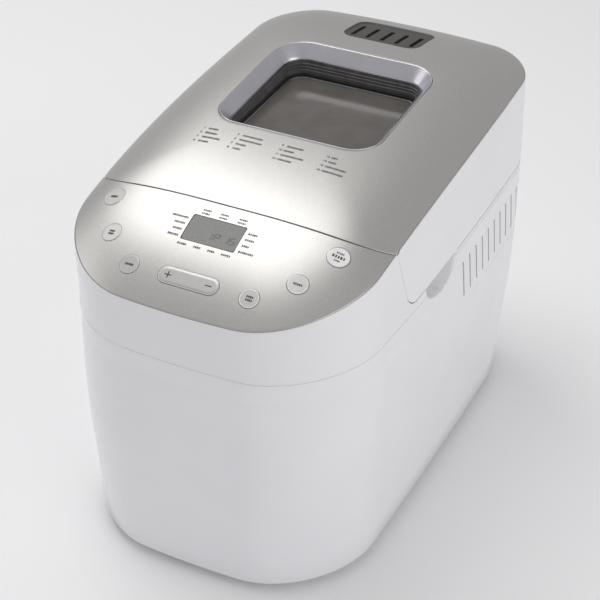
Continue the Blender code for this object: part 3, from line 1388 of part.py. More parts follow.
body("pan", (0.0, CHAMBER_Y, PAN_FLOOR), [bread_pan(), pan_base_ring(), bushing_plate()])
body("handle", (0.0, CHAMBER_Y, HANDLE_Z), [pan_handle()])
for end, line_y, way in (("front", PADDLE_Y[0], 1), ("rear", PADDLE_Y[1], -1)):
    paddle_pieces = [kneading_paddle("kneading_paddle_" + end, line_y, way)]
    paddle_pieces.append(pan_shaft("pan_shaft_" + end, line_y))
    body("paddle_" + end, (0.0, line_y, PAN_FLOOR), paddle_pieces)
    drive_pieces = [drive_shaft("drive_shaft_" + end, line_y), drive_pulley("drive_pulley_" + end, line_y)]
    drive_pieces.append(lower_coupling("lower_coupling_" + end, line_y))
    body("drive_" + end, (0.0, line_y, SHAFT_LOW), drive_pieces)
body("motor_rotor", (0.0, MOTOR_Y, SHAFT_LOW), [motor_pulley()])
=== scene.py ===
"""Looks of the twin-paddle bread machine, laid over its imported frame.

Frame: +X right, -Y front, +Z up, metres, origin under the middle of the machine.
"""

import math

import bmesh
import bpy
import numpy as np
from mathutils import Matrix, Vector


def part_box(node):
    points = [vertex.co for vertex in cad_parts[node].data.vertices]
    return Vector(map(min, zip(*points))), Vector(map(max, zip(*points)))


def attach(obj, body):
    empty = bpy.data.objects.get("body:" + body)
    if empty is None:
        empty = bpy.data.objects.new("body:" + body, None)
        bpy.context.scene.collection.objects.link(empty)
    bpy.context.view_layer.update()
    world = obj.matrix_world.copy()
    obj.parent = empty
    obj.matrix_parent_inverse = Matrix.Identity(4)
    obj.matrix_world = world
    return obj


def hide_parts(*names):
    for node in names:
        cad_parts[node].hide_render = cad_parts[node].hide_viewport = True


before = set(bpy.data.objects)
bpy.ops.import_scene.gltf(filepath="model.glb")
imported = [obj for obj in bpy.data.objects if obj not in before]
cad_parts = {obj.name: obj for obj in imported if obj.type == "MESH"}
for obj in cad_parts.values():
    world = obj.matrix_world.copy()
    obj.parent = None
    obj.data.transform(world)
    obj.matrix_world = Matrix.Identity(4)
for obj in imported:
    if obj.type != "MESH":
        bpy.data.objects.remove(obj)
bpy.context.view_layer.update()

# ---- sizes of the machine, in metres ----
WIDTH = 0.2742
DEPTH = 0.4474
HEIGHT = 0.3277
GAP = 0.0003
WALL = 0.0025
BASE_Z = 0.008
WAIST_Z = 0.128
RIM_Z = 0.235
END_SWELL = 0.0098
LIP = 0.0011
LIP_WIDTH = 0.00075  # white edge that shows round the silver
SKIN = 0.0020
SEAT = 0.0030  # walls stop this far under the crown, beneath the skins
SEAM_Z = 0.222
SEAM_HALF = 0.0004
SEAM_FILLET = 0.014
SEAM_REF_Z = HEIGHT - 0.0442
SEAM_LEAN = 0.0212 / (SEAM_REF_Z - SEAM_Z)
SEAM_SIDE_X = WIDTH / 2 - 0.0031
LID_LOW = SEAM_Z + SEAM_HALF
DECK_TOP = SEAM_Z - SEAM_HALF
DECK_LOW = DECK_TOP - 0.0030
BARREL = 0.0050
FRONT = -DEPTH / 2
REAR = DEPTH / 2 - BARREL
HINGE_X = 0.070
HINGE_HALF = 0.014  # half width of the notches cleared for the hinges
HINGE_DEPTH = 0.0065  # how far the notches run in past the hinge barrel
RECESS_Y = -0.018
RECESS_HALF = 0.032
RECESS_DROP = 0.0215
RECESS_DEPTH = 0.0105
CREASE_FRONT = 0.218
CREASE_SIDE = 0.211
CREASE_REAR = 0.218
BAND_Z = 0.2188  # above this the collar's rings are level
WALL_TOP_Z = 0.199  # above this the shell's rings bend up to the crease
SLOTS = [0.030 + 0.0145 * i for i in range(10)]
SLOT_LOW = 0.163
SLOT_HIGH = 0.200
SLOT_WIDTH = 0.0026
SLOT_LEAN = 0.003
BED_LOW = 0.1545  # shallow bed round the louvres
BED_HIGH = 0.209
WINDOW_Y = 0.0424
WINDOW_HALF_X = 0.0755
WINDOW_HALF_Y = 0.0725
WINDOW_RADIUS = 0.028
BEZEL_WIDTH = 0.0100
GLASS_TOP = HEIGHT - 0.0290
GLASS = 0.0032
GRILLE_Y = 0.1675
GRILLE_HALF_X = 0.0370
GRILLE_HALF_Y = 0.0245
GRILLE_RADIUS = 0.0120
GRILLE_THICK = 0.0030
GRILLE_SLOT_Y = 0.16325
GRILLE_SLOT_HALF_X = 0.0020
GRILLE_SLOT_HALF_Y = 0.01375
GRILLE_SLOT_PITCH = 0.0142
KEYS = {
    "menu_key": (-0.1003, -0.1374, 0.0095),
    "loaf_size_key": (-0.0826, -0.1710, 0.00875),
    "dough_key": (-0.0529, -0.1936, 0.0085),
    "home_made_key": (0.0529, -0.1936, 0.0085),
    "color_key": (0.0826, -0.1710, 0.00875),
    "start_stop_key": (0.1003, -0.1374, 0.0095),
}
KEY_GAP = 0.00025
KEY_THICK = 0.0030
ROCKER_Y = -0.1937
ROCKER_HALF_X = 0.0268
ROCKER_HALF_Y = 0.0078
PLUS_X = -0.0180
MINUS_X = 0.0175
SIGN_LENGTH = 0.0058
SIGN_STROKE = 0.0009
DISPLAY_Y = -0.1526
DISPLAY_HALF_X = 0.0236
DISPLAY_HALF_Y = 0.0125
DIGIT_Y = -0.0035
DIGIT_HALF_X = 0.0022
DIGIT_HALF_Y = 0.0030
DIGIT_STROKE = 0.0005
CHAMBER_Y = 0.060
CHAMBER_HALF_X = 0.092
CHAMBER_HALF_Y = 0.114
CHAMBER_RADIUS = 0.034
CHAMBER_FLOOR = 0.0462
SHEET = 0.0010
PAN_HALF_X = 0.070
PAN_HALF_Y = 0.098
PAN_TAPER = 0.005
PAN_RADIUS = 0.030
PAN_FLOOR = 0.0640
PAN_TOP = 0.2005
PAN_WALL = 0.0015
PAN_RIM = 0.005
HANDLE_Z = 0.2055
HANDLE_ARM = 0.045
HANDLE_HALF_X = 0.0785
HANDLE_WIRE = 0.0025
EAR_X = 0.0725
EAR_THICK = 0.003
ELEMENT_Z = 0.072
ELEMENT_WIRE = 0.0035
ELEMENT_HALF_X = 0.079
ELEMENT_HALF_Y = 0.1035
ELEMENT_LEG_X = 0.020
ELEMENT_BEND = 0.018
PADDLES = {"front": (0.014, 1), "rear": (0.106, -1)}
PADDLE_REACH = 0.043
PADDLE_HUB = 0.009
FIN_ROOT = 0.0028  # half thickness of the fin at the hub
FIN_TAPER = 0.0012
FIN_SWEEP = 0.006
FIN_FALL = 0.012
SHAFT = 0.0040
PAN_SHAFT_TOP = 0.0945
DOME_FOOT_Z = 0.2250
DOME_TOP_Z = 0.2590
DOME_LEAN = 0.008
SEAL_WIDTH = 0.004
LINER_HOLE = (0.056, 0.054, 0.020)  # half sizes and corner radius
INNER_PANE = (0.062, 0.060, 0.024)
PAD_RADIUS = 0.011
SCREW_PLACES = ((-0.070, -0.150), (0.070, -0.150), (-0.070, 0.120), (0.070, 0.120))
INK = 0.00016  # printed marks stand this proud


# ---- materials ----
def linear(colour):
    """Linear RGBA of an sRGB hex colour."""
    parts = [int(colour[i : i + 2], 16) / 255 for i in (1, 3, 5)]
    bright = [c / 12.92 if c <= 0.04045 else ((c + 0.055) / 1.055) ** 2.4 for c in parts]
    return (*bright, 1.0)


def node(tree, kind, links=(), **settings):
    """Add a shader node. Inputs and properties are set by name, and links join sockets to its inputs."""
    made = tree.nodes.new("ShaderNode" + kind)
    for name, value in settings.items():
        socket = made.inputs.get(name.replace("_", " "))
        if socket is not None:
            socket.default_value = value
        else:
            setattr(made, name, value)
    for source, name in links:
        tree.links.new(source, made.inputs[name])
    return made


def material(name, colour, roughness, metallic=0.0, **sockets):
    """A named Principled material. Other sockets are set by name."""
    made = bpy.data.materials.new(name)
    made.use_nodes = True
    shader = made.node_tree.nodes["Principled BSDF"]
    shader.inputs["Base Color"].default_value = linear(colour)
    shader.inputs["Roughness"].default_value = roughness
    shader.inputs["Metallic"].default_value = metallic
    for socket, value in sockets.items():
        shader.inputs[socket.replace("_", " ")].default_value = value
    return made


def grained(made, shades, grain, rough=(0.0, 0.0), bump=0.0, detail=3.0, stretch=(1, 1, 1)):
    """Give a material noise of a real grain size: two shades, a spread of roughness and a bump."""
    tree = made.node_tree
    shader = tree.nodes["Principled BSDF"]
    place = node(tree, "TexCoord")
    turn = node(tree, "Mapping", [(place.outputs["Object"], "Vector")], Scale=stretch)
    noise = node(tree, "TexNoise", [(turn.outputs[0], "Vector")], Scale=1 / grain, Detail=detail)
    if shades:
        ramp = node(tree, "ValToRGB", [(noise.outputs[0], "Fac")])
        for stop, (at, colour) in zip(ramp.color_ramp.elements, ((0.35, shades[0]), (0.65, shades[1]))):
            stop.position = at
            stop.color = linear(colour)
        tree.links.new(ramp.outputs[0], shader.inputs["Base Color"])
    if rough[1] > rough[0]:
        spread = node(tree, "MapRange", [(noise.outputs[0], "Value")], To_Min=rough[0], To_Max=rough[1])
        tree.links.new(spread.outputs[0], shader.inputs["Roughness"])
    if bump:
        relief = node(tree, "Bump", [(noise.outputs[0], "Height")], Strength=bump, Distance=0.0002)
        tree.links.new(relief.outputs[0], shader.inputs["Normal"])
    return made


# glossy moulded ABS: clean cool white whose shade drifts faintly over a hand's breadth
white_abs = grained(
    material("white_gloss_abs", "#F1F0F3", 0.22, Specular_IOR_Level=0.5),
    ("#F0EFF2", "#F2F1F4"), 0.060, (0.21, 0.24), detail=1.0
)
# matt metallic paint on ABS: fine aluminium flake, drawn at 0.7 mm so that it shows, breaks the reflection
silver_paint = grained(
    material("silver_metallic_paint", "#C9C7C3", 0.36, 0.88),
    ("#C2C0BC", "#CFCDC9"), 0.0007, (0.32, 0.42), 0.08, detail=2.0
)
# vacuum metallised moulding with a satin lacquer: brighter and cooler than the paint, with soft highlights
satin_metal = grained(
    material("satin_metallised_abs", "#CFCDD3", 0.26, 0.95),
    ("#CDCBD1", "#D1CFD5"), 0.012, (0.27, 0.31), detail=2.0
)
# dark grey moulded frame inside the window, slightly glossy; its dark grey is painted shade for the shadow
# that falls on this inner wall
window_wall_shade_grey = grained(
    material("window_wall_painted_shade", "#5F5D5F", 0.32, 0.3), ("#575557", "#676567"), 0.008, (0.28, 0.38)
)
# bright trim line on the glass: thin aluminium strip
trim_strip = grained(
    material("aluminium_trim", "#9A9A98", 0.30, 1.0), ("#929290", "#A2A2A0"), 0.004, (0.25, 0.38)
)
# silicone gasket: matt black, with a little dust in its tooth
black_silicone = grained(
    material("black_silicone", "#1B1A19", 0.62), ("#161514", "#232120"), 0.002, (0.55, 0.72), 0.1
)
# toughened glass with a smoked tint and a light bake haze: warm grey, sharp highlights over a dull depth
smoked_glass = grained(
    material("smoked_glass", "#75706A", 0.10, Transmission_Weight=0.25, IOR=1.5),
    ("#716C65", "#797470"), 0.022, (0.10, 0.15), detail=2.0
)
# clear toughened inner pane
clear_glass = grained(
    material("clear_glass", "#C9CCC9", 0.06, Transmission_Weight=0.85, IOR=1.5),
    ("#C5C9C5", "#CFD2CF"), 0.030, (0.04, 0.09)
)
# glass-filled nylon of the steam grille: warm dark grey with a fine spark-eroded texture of 0.6 mm
grille_nylon = grained(
    material("dark_grey_nylon", "#4B4844", 0.48), ("#45423E", "#524F4B"), 0.0006, (0.42, 0.56), 0.25
)
# steam duct: the same nylon painted near black, as painted shade for the dark depth under the grille's slots
nylon_dark_with_duct_shade = grained(material("nylon_black_with_painted_shade", "#100F0E", 0.7), ("#0C0B0A", "#161514"), 0.003, (0.6, 0.8))
# screen-printed dark grey ink, dead matt with slightly broken cover
dark_ink = grained(material("dark_grey_ink", "#4A4748", 0.6), ("#444142", "#514E4F"), 0.0008, (0.5, 0.7))
# screen-printed white ink of the key rings
white_ink = grained(material("white_ink", "#F2F1F0", 0.5), ("#EEEDEC", "#F6F5F4"), 0.0008, (0.42, 0.58))
# thinner white print that lets the silver through
pale_ink = grained(material("pale_ink", "#CFCDCB", 0.42, 0.35), ("#C9C7C5", "#D5D3D1"), 0.001, (0.36, 0.48))
# key caps: the panel's silver paint with a slightly smoother, lighter lacquer
key_paint = grained(
    material("silver_key_paint", "#CBC9C6", 0.34, 0.85), ("#C5C3C0", "#D1CFCC"), 0.0007, (0.30, 0.38), 0.05
)
# display: tinted polycarbonate over a grey-green reflective liquid-crystal cell
display_glass = grained(
    material("tinted_polycarbonate", "#595852", 0.16, Coat_Weight=0.6, Coat_Roughness=0.05),
    ("#53524C", "#605F59"), 0.0012, (0.12, 0.22)
)
# liquid-crystal segments, a shade darker than the cell
segment_ink = grained(material("lcd_segment", "#3C3B37", 0.3), ("#383733", "#413F3B"), 0.002, (0.25, 0.35))
# aluminised steel sheet of the chamber: pale grey with a cloudy spangle of 9 mm and long rolling marks
aluminised = grained(
    material("aluminised_steel", "#A9A8A5", 0.38, 1.0), ("#9C9B98", "#B5B4B1"), 0.009, (0.30, 0.46), 0.05
)
# pressed aluminium liner of the lid, brushed lengthways with lines 0.8 mm apart
brushed_aluminium = grained(
    material("brushed_aluminium", "#BDBCBA", 0.34, 1.0),
    ("#B2B1AF", "#C7C6C4"), 0.016, (0.28, 0.42), 0.08, stretch=(20, 1, 20)
)
# stainless wire and shafts: bright, with fine drawing marks
drawn_steel = grained(
    material("drawn_stainless", "#BEBDBB", 0.22, 1.0), ("#B4B3B1", "#C8C7C5"), 0.004, (0.16, 0.30)
)
# PTFE non-stick coat: charcoal with light specks about 1 mm across
nonstick = grained(
    material("ptfe_nonstick", "#38383A", 0.42), ("#2F2F31", "#454547"), 0.0012, (0.36, 0.5), 0.12, detail=4.0
)
# heater sheath: nickel alloy gone brown-grey with heat, in bands
heat_blued = grained(
    material("oxidised_heater_sheath", "#4C4743", 0.5, 0.8), ("#3E3936", "#5C554E"), 0.018, (0.42, 0.62)
)
# glazed steatite of the terminals
steatite = grained(material("glazed_steatite", "#DDD6C6", 0.3), ("#D6CFBF", "#E4DDCD"), 0.006, (0.24, 0.38))
# sintered bronze bushings, open-grained
sintered_bronze = grained(
    material("sintered_bronze", "#A07A4A", 0.42, 1.0), ("#8F6C40", "#B08858"), 0.001, (0.36, 0.5), 0.15
)
# zinc-plated steel of chassis and motor: cool grey with a faint passivation bloom
zinc_plate = grained(
    material("zinc_plated_steel", "#A7A9AB", 0.36, 1.0), ("#9C9EA2", "#B2B3B2"), 0.014, (0.3, 0.44)
)
# neoprene drive belt
neoprene = grained(
    material("neoprene_belt", "#1D1C1B", 0.7), ("#181716", "#252322"), 0.0015, (0.62, 0.8), 0.2
)
# glass-filled pulley nylon
pulley_nylon = grained(material("pulley_nylon", "#2B2A29", 0.55), ("#262524", "#343231"), 0.002, (0.5, 0.62))
# glass-fibre board under green solder mask
circuit_board = grained(
    material("green_circuit_board", "#1F5A37", 0.4), ("#1A5231", "#27673F"), 0.004, (0.34, 0.48)
)
# moulded rubber feet
foot_rubber = grained(
    material("grey_rubber", "#8D8C8B", 0.6), ("#848382", "#969594"), 0.002, (0.55, 0.68), 0.1
)


# ---- outer form ----
def station(z):
    """Half width, front, rear, corner radii and side swell of the plan at a height."""
    half = WIDTH / 2 / 1.0459
    base = (half - 0.0047, FRONT, REAR - 0.0281, 0.0826, 0.0655, 0.023)
    waist = (half, FRONT + 0.0014, REAR - 0.0140, 0.0796, 0.0483, 0.0459)
    rim = (half - 0.0020, FRONT + 0.0049, REAR, 0.0796, 0.0483, 0.0459)
    near = [z + step for step in (-0.026, -0.013, 0.0, 0.013, 0.026)]
    if abs(z - WAIST_Z) > 0.05:
        near = [z]
    return [float(np.mean(np.interp(near, (BASE_Z, WAIST_Z, RIM_Z), v))) for v in zip(base, waist, rim)]


def half_plan(z, inset=0.0, ends=9, corners=22, sides=26, fine=False):
    """Right half of the outline at a height, front middle to rear middle; fine adds points by the recess."""
    half, front, rear, r_front, r_rear, swell = station(z)
    half, r_front, r_rear = half - inset, r_front - inset, r_rear - inset
    front, rear = front + END_SWELL + inset, rear - END_SWELL - inset
    points = [(x, front) for x in np.linspace(0, half - r_front, ends)[:-1]]
    run = np.linspace(front + r_front, rear - r_rear, sides)[1:-1]
    if fine:
        near, far = RECESS_Y - RECESS_HALF - 0.004, RECESS_Y + RECESS_HALF + 0.004
        run = list(np.linspace(front + r_front, near, 12)[1:-1]) + list(np.linspace(near, far, 73))
        run += list(np.linspace(far, rear - r_rear, 18)[1:-1])
    for radius, middle_y, start in ((r_front, front + r_front, -90), (r_rear, rear - r_rear, 0)):
        if start == 0:
            points += [(half, y) for y in run]
        for angle in np.radians(np.linspace(start, start + 90, corners)):
            points.append((half - radius + radius * math.cos(angle), middle_y + radius * math.sin(angle)))
    points += [(x, rear) for x in np.linspace(half - r_rear, 0, ends)[1:]]
    middle, length = (front + rear) / 2, (rear - front) / 2
    swollen = []
    for x, y in points:
        along, across = (y - middle) / length, x / half
        end = math.copysign(END_SWELL * (1 - across**2) * along**2, along)
        swollen.append((x * (1 + swell * (1 - along**2)), y + end))
    return swollen


SILVER = np.array(half_plan(RIM_Z, LIP, 20, 30, 30))
SILVER_MIDDLE = (SILVER[0][1] + SILVER[-1][1]) / 2
SILVER_ANGLE = np.arctan2(SILVER[:, 1] - SILVER_MIDDLE, SILVER[:, 0])
SILVER_RADIUS = np.hypot(SILVER[:, 0], SILVER[:, 1] - SILVER_MIDDLE)


def crown_z(x, y):
    """Height of the silver top: a gentle spine that rolls off towards the outline."""
    along = y - SILVER_MIDDLE
    edge = np.interp(math.atan2(along, abs(x)), SILVER_ANGLE, SILVER_RADIUS)
    share = math.hypot(x, along) / edge
    return float(HEIGHT - 0.0031 + 0.0607 * y - 0.2755 * y**2 + 0.664 * y**3 - 0.0255 * share**4.18)


def under_crown(drop):
    return lambda x, y: crown_z(x, y) - drop


def crown_place(x, y):
    """Matrix whose Z axis leaves the crown squarely at a point, with X to the right."""
    step = 0.001
    slope_x = (crown_z(x + step, y) - crown_z(x - step, y)) / (2 * step)
    slope_y = (crown_z(x, y + step) - crown_z(x, y - step)) / (2 * step)
    normal = Vector((-slope_x, -slope_y, 1.0)).normalized()
    up = normal.cross(Vector((1, 0, 0))).normalized()
    turn = Matrix((up.cross(normal), up, normal)).transposed().to_4x4()
    return Matrix.Translation((x, y, crown_z(x, y))) @ turn


def seam_y(x, z, shift=0.0):
    """Parting face between console and lid; shift moves it back, into the lid, and up."""
    across = min(abs(x) / SEAM_SIDE_X, 1.0)
    share = min(max(1 - (z - SEAM_Z - shift) / SEAM_FILLET, 0.0), 1.0)
    fillet = SEAM_FILLET * (1 - math.sqrt(1 - share**2))
    lean = SEAM_LEAN * (max(z, SEAM_Z + shift) - SEAM_REF_Z)
    return -0.1162 + 0.0152 * across**8 - lean + fillet + shift


def crease_z(y):
    """Lower edge of the collar: it dips along the sides to the recess and is higher behind it."""
    if y > RECESS_Y:
        return CREASE_REAR
    share = (y - FRONT) / (RECESS_Y - FRONT)
    return CREASE_FRONT + (CREASE_SIDE - CREASE_FRONT) * min(max(share, 0.0), 1.0) ** 2


def ramp(value, low, high):
    """Smooth step from 0 at low to 1 at high."""
    share = min(max((value - low) / (high - low), 0.0), 1.0)
    return share * share * (3 - 2 * share)


def hollowed(x, y, z):
    """Draw a point of the side walls in by the finger recess and the shallow bed of the louvres."""
    if abs(x) < 0.1:
        return Vector((x, y, z))
    reach = math.hypot((y - RECESS_Y) / RECESS_HALF, (SEAM_Z - z) / RECESS_DROP)
    depth = RECESS_DEPTH * (1 - ramp(reach, 0.80, 1.0))
    bed = ramp(z, BED_LOW, BED_LOW + 0.0025) * (1 - ramp(z, BED_HIGH - 0.010, BED_HIGH))
    depth += 0.0004 * bed * ramp(y, 0.018, 0.028) * (1 - ramp(y, 0.163, 0.175))
    return Vector((x - math.copysign(depth, x), y, z))


def outline(z, inset=0.0, height=None, fine=True):
    """Whole outline at a station height, hollowed at the sides. height sets z from x and y instead."""
    half = half_plan(z, inset, fine=fine)
    points = half + [(-x, y) for x, y in reversed(half[1:-1])]
    return [hollowed(x, y, height(x, y) if height else z) for x, y in points]


def crease_line(inset, rise):
    """Outline along the collar's lower edge; rise is added, or is a function of the edge's height."""
    half = half_plan(CREASE_SIDE, fine=True)
    inner = half_plan(CREASE_SIDE, inset, fine=True)
    line = []
    for (x, y), (_, beside) in zip(inner, half):
        edge = crease_z(beside)
        line.append((x, y, edge + (rise(edge) if callable(rise) else rise)))
    line += [(-x, y, z) for x, y, z in reversed(line[1:-1])]
    return [hollowed(*point) for point in line]


def split(z, inset, lid, shift, height=None, outer_steps=150, seam_steps=60):
    """Loop round the part of the plan behind (lid) or before the parting. height as in outline."""
    dense = half_plan(z, inset, 12, 40, 60)

    def level(x, y):
        return height(x, y) if height else z

    def beyond(point):
        return point[1] - seam_y(point[0], level(*point), shift)

    cross = next(i for i in range(1, len(dense)) if beyond(dense[i]) >= 0)
    a, b = dense[cross - 1], dense[cross]
    share = beyond(a) / (beyond(a) - beyond(b))
    corner = (a[0] + (b[0] - a[0]) * share, a[1] + (b[1] - a[1]) * share)
    run = np.array([corner] + dense[cross:] if lid else dense[:cross] + [corner])
    length = np.r_[0, np.cumsum(np.hypot(*np.diff(run, axis=0).T))]
    marks = np.linspace(0, length[-1], outer_steps // 2 + 1)
    half = list(zip(*[np.interp(marks, length, run[:, axis]).tolist() for axis in (0, 1)]))
    if not lid:
        half.reverse()
    parting = []
    for t in np.linspace(-1, 1, seam_steps + 1)[1:-1]:
        x = corner[0] * math.copysign(1 - (1 - abs(t)) ** 1.7, t)
        y = corner[1]
        for _ in range(8):
            y = seam_y(x, level(x, y), shift)
        parting.append((x, y))
    loop = half + [(-x, y) for x, y in reversed(half[:-1])] + parting
    return [Vector((x, y, level(x, y))) for x, y in loop]


def rounded(half_x, half_y, radius, middle_y, z, steps=12, middle_x=0.0):
    """Loop of a rounded rectangle. z is a height, or a function of x and y."""
    loop = []
    for corner, (sx, sy) in enumerate(((1, 1), (-1, 1), (-1, -1), (1, -1))):
        for i in range(steps + 1):
            angle = math.pi / 2 * (corner + i / steps)
            x = middle_x + sx * (half_x - radius) + radius * math.cos(angle)
            y = middle_y + sy * (half_y - radius) + radius * math.sin(angle)
            loop.append(Vector((x, y, z(x, y) if callable(z) else z)))
    return loop


# ---- mesh tools ----
def loft(bm, rings, closed=False):
    """Join rings of equal count in turn. They are bridged as a straight stack and then moved into place."""
    stack = []
    for level, ring in enumerate(rings):
        circle = bmesh.ops.create_circle(bm, segments=len(ring), radius=1.0, matrix=at(0, 0, level))
        verts = circle["verts"]
        stack.append((verts, list({edge for vert in verts for edge in vert.link_edges})))
    made = [edges for _, edges in stack]
    for low, high in zip(made, made[1:] + made[:1] if closed else made[1:]):
        bmesh.ops.bridge_loops(bm, edges=low + high)
    if not closed:
        bmesh.ops.holes_fill(bm, edges=made[0] + made[-1], sides=0)
    for (verts, _), ring in zip(stack, rings):
        for vert, point in zip(verts, ring):
            vert.co = point
    return made


def mesh_object(name, bm):
    """Close a bmesh up, turn its faces outwards and hang it in the scene."""
    bmesh.ops.remove_doubles(bm, verts=bm.verts, dist=1e-6)
    bmesh.ops.recalc_face_normals(bm, faces=bm.faces)
    mesh = bpy.data.meshes.new(name)
    bm.to_mesh(mesh)
    bm.free()
    made = bpy.data.objects.new(name, mesh)
    bpy.context.scene.collection.objects.link(made)
    return made


def baked(source):
    """Mesh of an object with its modifiers or its curve worked out."""
    bpy.context.view_layer.update()
    graph = bpy.context.evaluated_depsgraph_get()
    return bpy.data.meshes.new_from_object(source.evaluated_get(graph))


def carve(piece, bm, operation="DIFFERENCE"):
    """Cut another form out of a piece, or join it on."""
    other = mesh_object("carver", bm)
    step = piece.modifiers.new("carve", "BOOLEAN")
    step.operation, step.object, step.solver, step.use_self = operation, other, "EXACT", True
    done = baked(piece)
    piece.modifiers.clear()
    piece.data = done
    bpy.data.objects.remove(other, do_unlink=True)


def dress(piece, finish, body, replaces=(), sharp=35):
    """Shade a piece, give it its material, and hang it on its body."""
    piece.data.materials.clear()
    piece.data.materials.append(finish)
    piece.data.shade_smooth()
    piece.data.set_sharp_from_angle(angle=math.radians(sharp))
    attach(piece, body)
    if replaces:
        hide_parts(*replaces)
    return piece


def lofted(name, rings, finish, body, replaces=(), closed=False, sharp=35):
    """A dressed piece made of one loft. closed joins the last ring to the first."""
    bm = bmesh.new()
    loft(bm, rings, closed)
    return dress(mesh_object(name, bm), finish, body, replaces, sharp)


def lathe(bm, profile, place, steps=48, closed=False):
    """Spin a (radius, height) profile about the Z axis of a placing matrix."""
    verts = [bm.verts.new(place @ Vector((r, 0.0, z))) for r, z in profile]
    edges = [bm.edges.new(pair) for pair in zip(verts, verts[1:])]
    if closed:
        edges.append(bm.edges.new((verts[-1], verts[0])))
    axis = place.to_3x3() @ Vector((0, 0, 1))
    bmesh.ops.spin(
        bm, geom=verts + edges, cent=place.translation, axis=axis,
        angle=math.tau, steps=steps, use_merge=True
    )


def box(bm, low, high, place=Matrix(), soften=0.0):
    """A block between two corners of a placing matrix, its edges softened when asked."""
    low, high = Vector(low), Vector(high)
    middle = Matrix.Translation((low + high) / 2) @ Matrix.Diagonal((*(high - low), 1.0))
    made = bmesh.ops.create_cube(bm, size=1.0, matrix=place @ middle)
    if soften:
        edges = list({edge for vert in made["verts"] for edge in vert.link_edges})
        bmesh.ops.bevel(
            bm, geom=edges, offset=soften, segments=2, profile=0.5, affect="EDGES", material=-1
        )


def at(x, y, z=0.0):
    return Matrix.Translation((x, y, z))


def hinge_notches(bm, low, high):
    """Blocks that clear both hinges out of a rear wall between two heights."""
    for side in (-1, 1):
        x = side * HINGE_X
        inner = REAR - BARREL - HINGE_DEPTH
        box(bm, (x - HINGE_HALF, inner, low), (x + HINGE_HALF, REAR + 0.02, high))


def drill(bm, places, radius, segments):
    """Short round cutters, one on each placing matrix."""
    for place in places:
        bmesh.ops.create_cone(
            bm, cap_ends=True, segments=segments, radius1=radius, radius2=radius, depth=0.02, matrix=place
        )


# white lip round the silver, as inset from the outline and drop below the crown
LIP_EDGE = [(0.0, 0.00055), (0.0001, 0.0002), (0.0003, 0.00005)]
LIP_EDGE += [(LIP_WIDTH - 0.0001, 0.00005), (LIP_WIDTH, 0.0003), (LIP_WIDTH, SEAT)]


# ---- body shell: swelling sides, finger recesses, louvres ----
def body_shell():
    """White side wall: foot, swelling flank, louvre bed, and the bend up to the collar's crease."""

    def bend_up(share, inset):
        return crease_line(
            inset, lambda crease: (WALL_TOP_Z - crease) * (1 - share) - GAP - 0.0006 * share
        )

    rings = [outline(BASE_Z, 0.0018), outline(BASE_Z + 0.0005, 0.0006), outline(BASE_Z + 0.0018)]
    flank = [0.030, 0.050, 0.070, 0.085, 0.098, 0.108, 0.118, 0.128, 0.138, 0.147, 0.1535]
    bed = [BED_LOW, 0.1551, 0.1557, 0.1563, 0.1570, 0.162, 0.175, 0.190, 0.196]
    rings += [outline(z) for z in flank + bed]
    count = 12
    rings += [bend_up(i / count, 0.0) for i in range(count)]
    rings += [crease_line(0.00015, -GAP - 0.00015), crease_line(0.0006, -GAP)]
    inner = [crease_line(WALL, -GAP)]
    inner += [bend_up(i / count, WALL) for i in reversed(range(0, count, 2))]
    inner += [outline(z, WALL) for z in (0.190, 0.162, WAIST_Z, 0.098, 0.050, BASE_Z)]
    bm = bmesh.new()
    loft(bm, rings + inner, closed=True)
    shell = mesh_object("body_shell", bm)
    bm = bmesh.new()
    lean = math.atan2(SLOT_LEAN, SLOT_HIGH - SLOT_LOW)
    for side in (-1, 1):
        for y in SLOTS:
            middle = (SLOT_LOW + SLOT_HIGH) / 2
            place = at(side * WIDTH / 2, y, middle) @ Matrix.Rotation(lean, 4, "X")
            place = place @ Matrix.Rotation(math.pi / 2, 4, "Y")
            half, wide = (SLOT_HIGH - SLOT_LOW) / 2, SLOT_WIDTH / 2
            loops = [rounded(half, wide, wide - 0.0001, 0.0, z, 4) for z in (-0.012, 0.012)]
            loft(bm, [[place @ p for p in loop] for loop in loops])
    carve(shell, bm)
    bm = bmesh.new()
    hinge_notches(bm, SEAM_Z - BARREL - 0.006, 0.3)
    carve(shell, bm)
    return dress(shell, white_abs, "root", ["outer_housing"])


def seam_block(bm, shift, floor):
    """Everything behind and above the parting; floor is its level underside."""
    level = SEAM_Z + shift
    heights = [level + SEAM_FILLET * (1 - math.cos(a)) for a in np.linspace(0, math.pi / 2, 12)]
    heights += [0.260, HEIGHT + 0.06]
    back = REAR + 0.05
    loops = []
    spread = [0.0, 0.03, 0.05, 0.07] + list(np.linspace(0.082, 0.134, 22)) + [0.160]
    for x in [-x for x in reversed(spread[1:])] + spread:
        path = [(seam_y(x, z, shift), z) for z in heights]
        path[0] = (path[0][0], floor)
        path += [(back, heights[-1]), (back, floor)]
        loops.append([(x, y, z) for y, z in path])
    loft(bm, loops)


